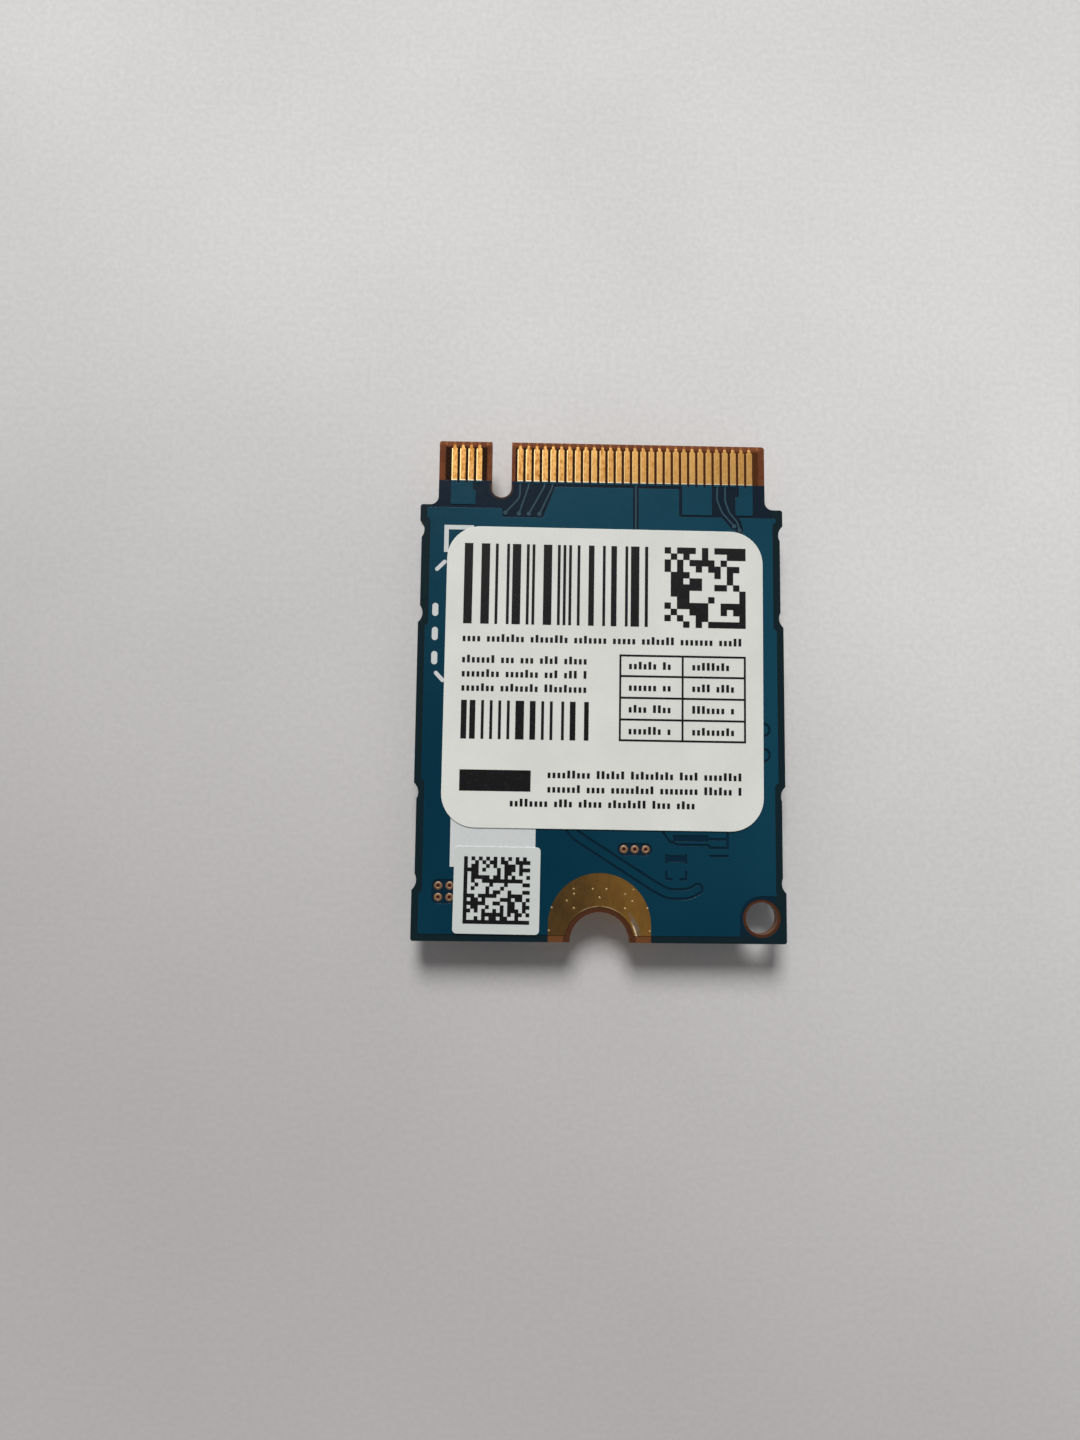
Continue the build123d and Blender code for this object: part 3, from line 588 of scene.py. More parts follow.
    def paint(self, sheet: Sheet, shader: Node) -> None:
        """Draws the weave, the buried copper plane behind the contacts with painted shade in the gaps
        between them, and the cut layers.

        Args:
            sheet: The material's tree.
            shader: Its surface shader.
        """
        place = sheet.millimetres()
        x, y, _ = sheet.axes(place)
        up = sheet.upness()
        rings = self.rings(sheet, place)
        margin = sheet.mix(sheet.grain(self.mottle, Contrast.SOFT), self.margin, self.margin_deep)
        margin = sheet.mix(sheet.fit(y, *self.strip_start), margin, self.end_strip)
        margin = sheet.mix(rings, margin, self.scorched)
        margin = sheet.glaze(margin, self.tail, self.tails(sheet, place, up), self.tail_cover)
        # Painted shade in the gaps between the contacts, with painted light towards the right
        inner = sheet.mix(sheet.fit(x, *self.lit_reach), self.inner, self.inner_lit)
        weave = self.weave(sheet, x, y)
        face = sheet.mix(self.plane(sheet, x, y), margin, inner)
        face = sheet.glaze(face, self.thread, weave, self.weave_cover)
        sawn = sheet.grain(self.sawn, Contrast.EVEN)
        edge = sheet.glaze(self.cut_side(sheet, place, sawn), self.drilled_wall, rings, self.wall_cover)
        flat = sheet.fit(sheet.work("ABSOLUTE", up), *self.level_turn)
        looks = {
            "Base Color": sheet.mix(flat, edge, face),
            "Roughness": sheet.ease(sawn, *self.rough),
            "Specular IOR Level": self.specular,
            "Normal": sheet.bump(sheet.mix(flat, sawn, weave), self.relief),
        }
        sheet.wire(shader, looks)


@dataclass(frozen=True)
class MaskFinish(Finish):
    """Solder mask: teal over wide copper, pale over narrow traces and near black where no copper is, with
    painted light: the teal lighter towards the contacts and the right, and painted highlights along copper
    edges near the contacts.
    """

    pour: Colour = tint(14, 62, 79)
    # painted shade end of the teal, towards the far end and the left
    pour_deep: Colour = tint(0, 46, 63)
    trace: Colour = tint(48, 73, 85)
    bare: Colour = tint(12, 28, 41)
    gap: Colour = tint(4, 34, 50)
    border: Colour = tint(14, 32, 37)
    # rim: painted highlight along the copper's edges, stronger towards the contacts
    rim: Colour = tint(52, 96, 112)
    slot_fringe: Colour = tint(78, 52, 36)
    dust: Colour = tint(150, 170, 176)
    slot_end: Point = (-6.125, 12.1)
    slot_radius: float = 0.6
    fringe_width: float = 0.18
    fringe_cover: float = 0.8
    trace_level: float = 2.295
    pour_level: float = 2.31
    level_gap: float = 0.004
    trace_band: float = 0.005
    trace_soft: float = 0.002
    top_turn: Span = (0.8, 0.95)
    wall_turn: Span = (0.9, 0.5)
    drift_way: Span = (0.6, 0.8)
    drift_reach: Span = (-11.0, 9.0)
    drift_shares: Span = (0.75, 0.25)
    drift_clouds: float = 0.11
    lit_reach: Span = (4.0, 9.5)
    end_scale: float = -0.715
    border_start: Span = (10.0, 10.6)
    rim_width: float = 0.06
    rim_grain: float = 1.5
    rim_cover: Span = (0.1, 0.5)
    dust_cells: float = 1.1
    dust_share: float = 0.012
    dust_size: float = 0.07
    dust_cover: float = 0.4
    fine: float = 5.0
    rough: Span = (0.22, 0.26)
    wall_rough: float = 0.6
    specular: float = 0.24
    waves: float = 1.8
    wave_depth: float = 0.0025
    wave_strength: float = 0.6
    edge_round: float = 0.015

    def ground(self, sheet: Sheet, place: Socket, copper: Socket) -> Socket:
        """The tone over copper and beside it.

        Args:
            sheet: The material's tree.
            place: Place in millimetres.
            copper: Where wide copper runs under the mask.

        Returns:
            The tone.
        """
        x, y, _ = sheet.axes(place)
        # Painted light: the teal lighter towards the contacts and the right, mixed with random clouds
        drift = sheet.fit(sheet.weigh(x, y, self.drift_way), *self.drift_reach)
        clouds = sheet.grain(self.drift_clouds, Contrast.SOFT)
        teal = sheet.mix(sheet.weigh(drift, clouds, self.drift_shares), self.pour_deep, self.pour)
        outer = sheet.work("MAXIMUM", sheet.work("ABSOLUTE", x), sheet.times(y, self.end_scale))
        bare = sheet.mix(sheet.fit(y, *self.lit_reach), self.gap, self.bare)
        bare = sheet.mix(sheet.fit(outer, *self.border_start), bare, self.border)
        return sheet.mix(copper, bare, teal)

    def marks(self, sheet: Sheet, place: Socket, copper: Socket, tone: Socket) -> Socket:
        """Lays the painted highlights along the copper's rims, the fringe at the key slot's end and dust
        over the tone.

        Args:
            sheet: The material's tree.
            place: Place in millimetres.
            copper: Where wide copper runs under the mask.
            tone: The tone so far.

        Returns:
            The tone with its marks.
        """
        # Painted highlight on the copper's rims, stronger towards the contacts
        lit = sheet.fit(sheet.axes(place)[1], *self.lit_reach, *self.rim_cover)
        rim = sheet.effect(Effect.RIM, Contrast.SOFT, radius=self.rim_width, density=self.rim_grain)
        tone = sheet.mix(sheet.times(sheet.times(rim, copper), lit), tone, self.rim)
        reach = sheet.reach(place, *self.slot_end)
        inner, outer = self.slot_radius, self.slot_radius + self.fringe_width
        fringe = sheet.fit(reach, outer, inner, 0.0, self.fringe_cover)
        tone = sheet.mix(fringe, tone, self.slot_fringe)
        dust = sheet.effect(
            Effect.FLECKS, density=self.dust_cells, share=self.dust_share, size=self.dust_size
        )
        return sheet.glaze(tone, self.dust, dust, self.dust_cover)

    def paint(self, sheet: Sheet, shader: Node) -> None:
        """Draws the tones, the painted highlights on the copper's rims and the mask's slight waves.

        Args:
            sheet: The material's tree.
            shader: Its surface shader.
        """
        place = sheet.millimetres()
        z = sheet.axes(place)[2]
        up = sheet.upness()
        copper = sheet.fit(z, self.trace_level + self.level_gap, self.pour_level - self.level_gap)
        low, high = self.trace_level - self.trace_band, self.trace_level + self.trace_band
        top = sheet.fit(up, *self.top_turn)
        trace = sheet.times(sheet.within(z, low, high, self.trace_soft), top)
        tone = sheet.mix(trace, self.ground(sheet, place, copper), self.trace)
        wall = sheet.fit(sheet.work("ABSOLUTE", up), *self.wall_turn)
        rough = sheet.ease(sheet.grain(self.fine, Contrast.FAINT), *self.rough)
        waves = sheet.grain(self.waves, Contrast.FAINT)
        rounded = sheet.soft_edges(self.edge_round * MM)
        looks = {
            "Base Color": self.marks(sheet, place, copper, tone),
            "Roughness": sheet.ease(wall, rough, self.wall_rough),
            "Specular IOR Level": self.specular,
            "Normal": sheet.bump(waves, self.wave_depth, self.wave_strength, rounded),
        }
        sheet.wire(shader, looks)


@dataclass(frozen=True)
class PaperFinish(Finish):
    """Matt label stock with a short fibre and a painted highlight along its cut edges."""

    clean: Colour = tint(214, 215, 209)
    shade: Colour = tint(205, 206, 199)
    # cut: painted highlight along the cut edges
    cut: Colour = tint(246, 248, 247)
    clouds: float = 0.35
    fibre: float = 9.0
    shares: Span = (0.6, 0.4)
    rim_width: float = 0.08
    rim_grain: float = 4.0
    rim_cover: float = 0.8
    rough: Span = (0.5, 0.62)
    specular: float = 0.35
    relief: float = 0.0025
    strength: float = 0.5

    def paint(self, sheet: Sheet, shader: Node) -> None:
        """Draws the fibre, slow clouds and the painted highlight on the edge.

        Args:
            sheet: The material's tree.
            shader: Its surface shader.
        """
        clouds = sheet.grain(self.clouds, Contrast.SOFT)
        fibre = sheet.grain(self.fibre, Contrast.EVEN)
        tone = sheet.mix(sheet.weigh(clouds, fibre, self.shares), self.clean, self.shade)
        # Painted highlight along the cut edges
        rim = sheet.effect(Effect.RIM, Contrast.FULL, radius=self.rim_width, density=self.rim_grain)
        looks = {
            "Base Color": sheet.glaze(tone, self.cut, rim, self.rim_cover),
            "Roughness": sheet.ease(fibre, *self.rough),
            "Specular IOR Level": self.specular,
            "Normal": sheet.bump(fibre, self.relief, self.strength),
        }
        sheet.wire(shader, looks)


@dataclass(frozen=True)
class PrintFinish(Finish):
    """Printed ink that thins out in places."""

    full: Colour
    thin: Colour
    density: float
    worn: float
    gloss: float
    dulling: float = 0.15
    specular: float = 0.2
    relief: float = 0.003
    strength: float = 0.5

    def paint(self, sheet: Sheet, shader: Node) -> None:
        """Draws the ink's cover.

        Args:
            sheet: The material's tree.
            shader: Its surface shader.
        """
        cover = sheet.grain(self.density, Contrast.SPARSE)
        looks = {
            "Base Color": sheet.mix(sheet.times(cover, self.worn), self.full, self.thin),
            "Roughness": sheet.ease(cover, self.gloss, self.gloss + self.dulling),
            "Specular IOR Level": self.specular,
            "Normal": sheet.bump(cover, self.relief, self.strength),
        }
        sheet.wire(shader, looks)


@dataclass(frozen=True)
class MetalFinish(Finish):
    """Plated or tinned metal with lengthwise rubbing and dull patches."""

    bright: Colour
    dull: Colour
    smooth: float
    rough: float
    across: float = 14.0
    along: float = 1.2
    patches: float = 2.0
    relief: float = 0.0018
    shares: Span = (0.45, 0.4)
    strength: float = 0.6

    def shade(self, sheet: Sheet, share: Socket) -> Socket:
        """How dull the metal is, from its own rubbing and patches."""
        return share

    def weather(self, sheet: Sheet, colour: Socket, rough: Socket) -> tuple[Socket, Socket]:
        """The metal's colour and roughness with its own marks."""
        return colour, rough

    def paint(self, sheet: Sheet, shader: Node) -> None:
        """Draws the rubbing, the patches and the metal's own marks.

        Args:
            sheet: The material's tree.
            shader: Its surface shader.
        """
        lines = sheet.effect(Effect.STREAKS, Contrast.RUBBED, across=self.across, along=self.along)
        patch = sheet.grain(self.patches, Contrast.PATCHY)
        share = self.shade(sheet, sheet.weigh(lines, patch, self.shares))
        rough = sheet.ease(share, self.smooth, self.rough)
        colour, rough = self.weather(sheet, sheet.mix(share, self.bright, self.dull), rough)
        normal = sheet.bump(lines, self.relief, self.strength)
        looks = {"Base Color": colour, "Roughness": rough, "Metallic": 1.0, "Normal": normal}
        sheet.wire(shader, looks)


@dataclass(frozen=True)
class ContactFinish(MetalFinish):
    """Gold on the edge contacts: mottled, plainer to the right, pale at the foot, with a painted highlight
    along each contact's left edge that fades to the right.
    """

    pale: Colour = tint(240, 220, 184)
    # painted highlight on each contact's left edge
    polished: Colour = tint(255, 232, 170)
    left: float = -9.0
    right: float = 9.0
    own_tone: Span = (0.2, 0.38)
    evened: float = 0.5
    foot: Span = (12.6, 12.56)
    foot_cover: float = 0.8
    edge_start: Span = (-0.55, -0.8)
    edge_cover: Span = (0.1, 0.8)

    def shade(self, sheet: Sheet, share: Socket) -> Socket:
        """Adds each contact's own tone and evens the metal out along the row.

        Args:
            sheet: The material's tree.
            share: How dull the metal is.

        Returns:
            How dull it is then.
        """
        tone = sheet.add("ShaderNodeAttribute", attribute_name="tone").outputs["Fac"]
        row = sheet.fit(sheet.axes(sheet.millimetres())[0], self.left, self.right)
        mottled = sheet.times(share, sheet.ease(row, 1.0, self.evened))
        return sheet.work("ADD", mottled, sheet.ease(tone, *self.own_tone))

    def weather(self, sheet: Sheet, colour: Socket, rough: Socket) -> tuple[Socket, Socket]:
        """Adds the pale line where the mask ends and the painted highlight on the left edge.

        Args:
            sheet: The material's tree.
            colour: The metal's colour.
            rough: Its roughness.

        Returns:
            Both with the marks.
        """
        x, y, _ = sheet.axes(sheet.millimetres())
        aside = sheet.add("ShaderNodeAttribute", attribute_name="aside").outputs["Fac"]
        # Painted highlight along the left edge, fading to the right
        lit = sheet.fit(x, self.right, self.left, *self.edge_cover)
        edge = sheet.times(sheet.fit(aside, *self.edge_start), lit)
        colour = sheet.mix(edge, colour, self.polished)
        return sheet.glaze(colour, self.pale, sheet.fit(y, *self.foot), self.foot_cover), rough


@dataclass(frozen=True)
class RubMark:
    """A mark on the pad between two radii and past a place on an axis; the marks are the screw head's rub,
    bared metal with a painted glint, and a painted highlight on the inner edge.
    """

    bared: Colour
    rough: float
    ring: Span
    axis: int
    run: Span
    share: float = 1.0


@dataclass(frozen=True)
class PadFinish(MetalFinish):
    """Gold on the screw pad: painted shade darker to the left, a painted highlight along its inner edge,
    and rubbed by the screw's head, with a painted glint on the bared metal.
    """

    screw: Point = (0.0, -15.0)
    dark_end: float = -3.2
    light_end: float = 2.8
    drift_shares: Span = (0.3, 0.72)
    ragged: float = 2.6
    mark_soft: float = 0.035
    marks: tuple[RubMark, ...] = (
        # Painted highlight along the pad's inner edge at the top
        RubMark(tint(255, 228, 172), 0.5, ring=(2.04, 2.12), axis=1, run=(-13.7, -13.0), share=0.6),
        # Grey rub of the screw's head
        RubMark(tint(142, 137, 129), 0.46, ring=(2.22, 2.48), axis=0, run=(1.6, 1.85), share=0.8),
        # Metal bared by the screw, with a painted glint
        RubMark(tint(248, 236, 204), 0.66, ring=(2.15, 2.23), axis=0, run=(1.78, 1.98)),
    )

    def shade(self, sheet: Sheet, share: Socket) -> Socket:
        """Adds painted shade, darker to the left."""
        # Painted shade in the gold's reflection: darker to the left, lighter to the right
        drift = sheet.fit(sheet.axes(sheet.millimetres())[0], self.light_end, self.dark_end)
        return sheet.weigh(share, drift, self.drift_shares)

    def weather(self, sheet: Sheet, colour: Socket, rough: Socket) -> tuple[Socket, Socket]:
        """Adds the painted highlight on the inner edge and the screw's marks, the brightest with a painted
        glint.

        Args:
            sheet: The material's tree.
            colour: The metal's colour.
            rough: Its roughness.

        Returns:
            Both with the marks.
        """
        place = sheet.millimetres()
        reach = sheet.reach(place, *self.screw)
        ragged = sheet.grain(self.ragged, Contrast.RAGGED)
        for mark in self.marks:
            ring = sheet.times(sheet.within(reach, *mark.ring, self.mark_soft), ragged)
            reached = sheet.fit(sheet.axes(place)[mark.axis], *mark.run, 0.0, mark.share)
            # worn: where a mark lies, painted highlight and rubbed metal alike
            worn = sheet.times(ring, reached)
            colour = sheet.mix(worn, colour, mark.bared)
            rough = sheet.ease(worn, rough, mark.rough)
        return colour, rough


@dataclass(frozen=True)
class MineralFinish(Finish):
    """Moulded or fired body: grained, flecked with its filler and paler on its edges."""

    light: Colour
    dark: Colour
    fleck: Colour
    density: float = 12.0
    share: float = 0.12
    rough: float = 0.6
    relief: float = 0.004
    # share of the paler colour laid on the edges
    rubbed: float = 0.3
    clouds: float = 0.9
    shares: Span = (0.4, 0.6)
    fleck_density: float = 0.7
    fleck_size: float = 0.4
    fleck_cover: float = 0.55
    rim_width: float = 0.05
    rim_grain: float = 6.0
    rough_range: float = 0.08
    strength: float = 0.7

    def paint(self, sheet: Sheet, shader: Node) -> None:
        """Draws the grain, the flecks and the paler edges.

        Args:
            sheet: The material's tree.
            shader: Its surface shader.
        """
        clouds = sheet.grain(self.clouds, Contrast.SOFT)
        grain = sheet.grain(self.density, Contrast.EVEN)
        tone = sheet.mix(sheet.weigh(clouds, grain, self.shares), self.light, self.dark)
        cells = self.density * self.fleck_density
        flecks = sheet.effect(Effect.FLECKS, density=cells, share=self.share, size=self.fleck_size)
        tone = sheet.glaze(tone, self.fleck, flecks, self.fleck_cover)
        rim = sheet.effect(Effect.RIM, Contrast.FIRM, radius=self.rim_width, density=self.rim_grain)
        looks = {
            "Base Color": sheet.glaze(tone, self.fleck, rim, self.rubbed),
            "Roughness": sheet.ease(grain, self.rough - self.rough_range, self.rough + self.rough_range),
            "Normal": sheet.bump(grain, self.relief, self.strength),
        }
        sheet.wire(shader, looks)


@dataclass(frozen=True)
class FloorFinish(Finish):
    """Pale paper: shaded round the card, even further off, and clear only when seen from below."""

    pale: Colour = tint(221, 219, 218)
    shade: Colour = tint(176, 173, 172)
    fleck: Colour = tint(150, 148, 148)
    around: Span = (60.0, 700.0)
    drift_way: Span = (0.5, 1.0)
    drift_reach: Span = (30.0, -45.0)
    far_shade: float = 0.5
    fibre: float = 3.0
    clouds: float = 0.05
    shares: Span = (0.16, 0.1)
    rough: float = 0.9
    specular: float = 0.1
    relief: float = 0.01
    strength: float = 0.5

    def paint(self, sheet: Sheet, shader: Node) -> None:
        """Draws the shading and the fibre, and clears the back.

        Args:
            sheet: The material's tree.
            shader: Its surface shader.
        """
        fibre = sheet.grain(self.fibre, Contrast.FAINT)
        clouds = sheet.grain(self.clouds, Contrast.SOFT)
        place = sheet.millimetres()
        x, y, _ = sheet.axes(place)
        near = sheet.fit(sheet.reach(place, 0.0, 0.0), *self.around, 1.0, 0.0)
        drift = sheet.fit(sheet.weigh(x, y, self.drift_way), *self.drift_reach)
        tone = sheet.mix(sheet.ease(near, self.far_shade, drift), self.pale, self.shade)
        share = sheet.times(sheet.weigh(fibre, clouds, self.shares), near)
        looks = {
            "Base Color": sheet.mix(share, tone, self.fleck),
            "Roughness": self.rough,
            "Specular IOR Level": self.specular,
            "Normal": sheet.bump(sheet.times(fibre, near), self.relief, self.strength),
        }
        sheet.wire(shader, looks)
        back = sheet.add("ShaderNodeNewGeometry").outputs["Backfacing"]
        clear = sheet.add("ShaderNodeBsdfTransparent").outputs[0]
        shown = sheet.add("ShaderNodeMixShader", {0: back, 1: shader.outputs[0], 2: clear}).outputs[0]
        sheet.wire(sheet.tree.nodes["Material Output"], {"Surface": shown})


LAMINATE = LaminateFinish("brown_laminate")
REAR_MASK = MaskFinish("teal_mask_rear")
FRONT_MASK = MaskFinish("teal_mask_front", trace_level=0.5, pour_level=1.0)
# Its second colour is the painted shade end of the teal
FRONT_COPPER = MaskFinish(
    "teal_mask_copper", tint(38, 88, 105), tint(26, 76, 93), trace_level=0.5, pour_level=1.0
)
LABEL_STOCK = PaperFinish("label_stock")
# Its third colour is the painted highlight on the cut edges
CODE_STOCK = PaperFinish("code_label_stock", tint(197, 201, 198), tint(190, 194, 191), tint(228, 231, 230))
LEGEND_INK = PrintFinish(
    "legend_ink", tint(196, 199, 198), tint(160, 178, 184), density=5.0, worn=0.3, gloss=0.5
)
PRINT_INK = PrintFinish("print_ink", tint(15, 14, 16), tint(30, 29, 30), density=6.0, worn=0.6, gloss=0.42)
FINGER_GOLD = ContactFinish(
    "finger_gold", tint(236, 186, 111), tint(150, 98, 44),
    smooth=0.33, rough=0.42, across=12.0, along=2.4, patches=4.5,
)
PAD_GOLD = PadFinish(
    "pad_gold", tint(246, 180, 88), tint(166, 130, 84),
    smooth=0.3, rough=0.22, across=5.0, along=2.2, patches=1.1, relief=0.0008,
)
STITCH_GOLD = MetalFinish("stitch_gold", tint(186, 160, 114), tint(150, 122, 80), smooth=0.5, rough=0.62)
# Bore walls: copper-toned, darkened as painted shade in the hole
VIA_BORE_SHADE = MetalFinish("via_bore", tint(166, 96, 68), tint(130, 72, 50), smooth=0.55, rough=0.7)
VIA_GOLD = MetalFinish("via_gold", tint(200, 166, 136), tint(164, 128, 98), smooth=0.38, rough=0.54)
TIN = MetalFinish(
    "tinned_end", tint(204, 204, 201), tint(172, 172, 170),
    smooth=0.4, rough=0.56, across=9.0, along=5.0, patches=4.0,
)
SOLDER = MetalFinish(
    "solder", tint(196, 197, 196), tint(146, 147, 148),
    smooth=0.26, rough=0.46, across=5.0, along=5.0, patches=6.0,
)
LID = MetalFinish(
    "crystal_lid", tint(206, 196, 172), tint(170, 160, 138),
    smooth=0.3, rough=0.44, across=24.0, along=0.8, patches=1.5,
)
VIA_PLUG = MineralFinish(
    "via_plug", tint(190, 110, 84), tint(160, 90, 68), tint(200, 130, 100),
    density=14.0, share=0.1, rough=0.5,
)
MOULD = MineralFinish("package_mould", tint(33, 33, 34), tint(22, 22, 23), tint(72, 72, 74))
SUBSTRATE = MineralFinish(
    "package_substrate", tint(38, 62, 52), tint(24, 42, 36), tint(90, 104, 92), density=8.0
)
CERAMIC = MineralFinish(
    "capacitor_ceramic", tint(152, 116, 84), tint(122, 90, 64), tint(190, 160, 128),
    density=16.0, share=0.1, rough=0.5,
)
COMPOSITE = MineralFinish(
    "inductor_composite", tint(86, 88, 92), tint(52, 53, 56), tint(136, 138, 142),
    density=9.0, share=0.4, rough=0.6, relief=0.01,
)
ALUMINA = MineralFinish(
    "resistor_alumina", tint(226, 224, 216), tint(204, 201, 192), tint(240, 238, 232),
    density=14.0, share=0.1, rough=0.5,
)
OVERCOAT = MineralFinish(
    "resistor_overcoat", tint(24, 24, 27), tint(16, 16, 18), tint(60, 60, 64),
    density=10.0, share=0.06, rough=0.3,
)
IVORY = MineralFinish(
    "fuse_ceramic", tint(208, 204, 188), tint(184, 178, 160), tint(228, 224, 212),
    density=12.0, share=0.12, rough=0.45,
)
CRYSTAL_BASE = MineralFinish(
    "crystal_ceramic", tint(66, 58, 54), tint(46, 40, 38), tint(104, 96, 90),
    density=14.0, share=0.1, rough=0.5,
)
FLOOR_PAPER = FloorFinish("floor_paper")


def box_of(node: str) -> Box:
    """A CAD node's lowest and highest corners in millimetres."""
    low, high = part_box(node)
    return low / MM, high / MM


def solids_of(node: str) -> list[Box]:
    """The box of each separate solid in a CAD node.

    Args:
        node: The node's name.

    Returns:
        Lowest and highest corners in millimetres, sorted along X and then Y.
    """
    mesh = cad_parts[node].data
    keys = [tuple(round(number / MM, MICRON_DIGITS) for number in point.co) for point in mesh.vertices]
    parent = {key: key for key in keys}

    def root(key: tuple) -> tuple:
        """Follows a point to the one that stands for its solid.

        Args:
            key: The point.

        Returns:
            The point that stands for the solid.
        """
        while parent[key] != key:
            key = parent[key]
        return key

    for face in mesh.polygons:
        first, *rest = (root(keys[index]) for index in face.vertices)
        for other in rest:
            parent[root(other)] = root(first)
    groups: dict[tuple, list[tuple]] = {}
    for key in parent:
        groups.setdefault(root(key), []).append(key)
    boxes = []
    for points in groups.values():
        low = Vector(min(axis) for axis in zip(*points))
        high = Vector(max(axis) for axis in zip(*points))
        boxes.append((low, high))
    return sorted(boxes, key=lambda box: tuple(box[0]))


def over(box: Box, level: float) -> Vector:
    """The place at a level over or under the middle of a box."""
    middle = (box[0] + box[1]) / 2
    return Vector((middle.x, middle.y, level))


def coat(node: str, finish: Finish) -> Piece:
    """Gives a CAD node its finish.

    Args:
        node: The node's name.
        finish: What it is finished in.

    Returns:
        The node's object.
    """
    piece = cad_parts[node]
    piece.data.materials.clear()
    piece.data.materials.append(finish.material())
    return piece


def everywhere(middle: Vector, way: Vector) -> bool:
    """Every face or edge."""
    return True


def facing_up(middle: Vector, way: Vector) -> bool:
    """Faces that look up."""
    return way.z > ALONG


def facing_down(middle: Vector, way: Vector) -> bool:
    """Faces that look down."""
    return way.z < -ALONG


def upright(middle: Vector, way: Vector) -> bool:
    """Edges that stand upright."""
    return abs(way.z) > ALONG


class Bench:
    """A new mesh on the bench, shaped by the same moves as by hand."""

    def __init__(self, name: str) -> None:
        """Takes up the primitive that was just added.

        Args:
            name: The piece's name.
        """
        self.thing: Piece = bpy.context.active_object
        self.thing.name = name
        self.thing.data.name = name
        bpy.ops.object.transform_apply(location=True, rotation=True, scale=True)

    @staticmethod
    def clear() -> None:
        """Leaves edit mode and selects nothing."""
        active = bpy.context.view_layer.objects.active
        if active is not None and active.mode != "OBJECT":
            bpy.ops.object.mode_set(mode="OBJECT")
        bpy.ops.object.select_all(action="DESELECT")

    @classmethod
    def box(cls, name: str, low: Vector, high: Vector) -> "Bench":
        """Starts from a block.

        Args:
            name: The piece's name.
            low: Lowest corner.
            high: Highest corner.

        Returns:
            The bench with the block on it.
        """
        cls.clear()
        bpy.ops.mesh.primitive_cube_add(size=1.0, location=(low + high) / 2 * MM, scale=(high - low) * MM)
        return cls(name)

    @classmethod
    def drum(cls, name: str, radius: float, low: float, high: float, sides: int) -> "Bench":
        """Starts from an upright drum on the Z axis.

        Args:
            name: The piece's name.
            radius: Its radius.
            low: Level of its lower end.
            high: Level of its upper end.
            sides: How many flats it has.

        Returns:
            The bench with the drum on it.
        """
        cls.clear()
        middle = (0.0, 0.0, (low + high) / 2 * MM)
        bpy.ops.mesh.primitive_cylinder_add(
            vertices=sides, radius=radius * MM, depth=(high - low) * MM, location=middle
        )
        return cls(name)

    def take(self) -> None:
        """Makes this the one selected object."""
        self.clear()
        self.thing.select_set(True)
        bpy.context.view_layer.objects.active = self.thing

    def pick(self, part: Part, test: Place) -> "Bench":
        """Selects faces or edges by their place, in edit mode.

        Args:
            part: Faces or edges.
            test: Says yes to a middle and a face's normal or an edge's direction.

        Returns:
            This bench.
        """
        active = bpy.context.view_layer.objects.active
        if active is not self.thing or active.mode != "EDIT":
            self.take()
            bpy.ops.object.mode_set(mode="EDIT")
        bpy.ops.mesh.select_mode(type=part.value)
        bpy.ops.mesh.select_all(action="DESELECT")
        form = bmesh.from_edit_mesh(self.thing.data)
        if part is Part.FACE:
            marks = [(item, item.calc_center_median(), item.normal) for item in form.faces]
        else:
            ends = [(item, item.verts[0].co, item.verts[1].co) for item in form.edges]
            marks = [(item, (a + b) / 2, (b - a).normalized()) for item, a, b in ends]
        for item, middle, way in marks:
            if test(middle / MM, way):
                item.select_set(True)
        form.select_flush_mode()
        bmesh.update_edit_mesh(self.thing.data)
        return self

    def extrude(self, x: float = 0.0, y: float = 0.0, z: float = 0.0) -> "Bench":
        """Draws the selected faces out."""
        bpy.ops.mesh.extrude_region_move(TRANSFORM_OT_translate={"value": Vector((x, y, z)) * MM})
        return self

    def swell(self, depth: float) -> "Bench":
        """Draws the selected faces out along their normals, or in if the depth is negative."""
        bpy.ops.mesh.extrude_region_shrink_fatten(TRANSFORM_OT_shrink_fatten={"value": depth * MM})
        return self

    def inset(self, width: float) -> "Bench":
        """Insets the selected faces."""
        bpy.ops.mesh.inset(thickness=width * MM, depth=0.0)
        return self

    def lift(self, height: float) -> "Bench":
        """Moves the selection up."""
        bpy.ops.transform.translate(value=UPWARDS * height * MM)
        return self

    def resize(self, x: float, y: float, z: float) -> "Bench":
        """Scales the selection about the origin."""
        bpy.ops.transform.resize(value=(x, y, z), center_override=(0.0, 0.0, 0.0))
        return self

    def bevel(self, width: float, segments: int = 2) -> "Bench":
        """Rounds the selected edges."""
        bpy.ops.mesh.bevel(offset=width * MM, segments=segments, affect="EDGES")
        return self

    def cut(self, point: Vector, normal: Vector) -> "Bench":
        """Cuts a loop of edges all round.

        Args:
            point: A point of the cutting plane.
            normal: The plane's normal.

        Returns:
            This bench.
        """
        self.pick(Part.FACE, everywhere)
        bpy.ops.mesh.bisect(plane_co=point * MM, plane_no=normal, threshold=HAIR)
        return self

    def apply(self, kind: str, **settings: object) -> "Bench":
        """Adds a modifier and applies it.

        Args:
            kind: The modifier's type.
            settings: Its properties.

        Returns:
            This bench.
        """
        self.take()
        modifier = self.thing.modifiers.new(kind.lower(), kind)
        for name, value in settings.items():
            setattr(modifier, name, value)
        bpy.ops.object.modifier_apply(modifier=modifier.name)
        return self

    def smooth(self, degrees: float) -> "Bench":
        """Shades the mesh smooth.

        Args:
            degrees: Edges sharper than this stay crisp.

        Returns:
            This bench.
        """
        self.take()
        bpy.ops.object.shade_smooth_by_angle(angle=math.radians(degrees))
        return self.apply("WEIGHTED_NORMAL", keep_sharp=True)

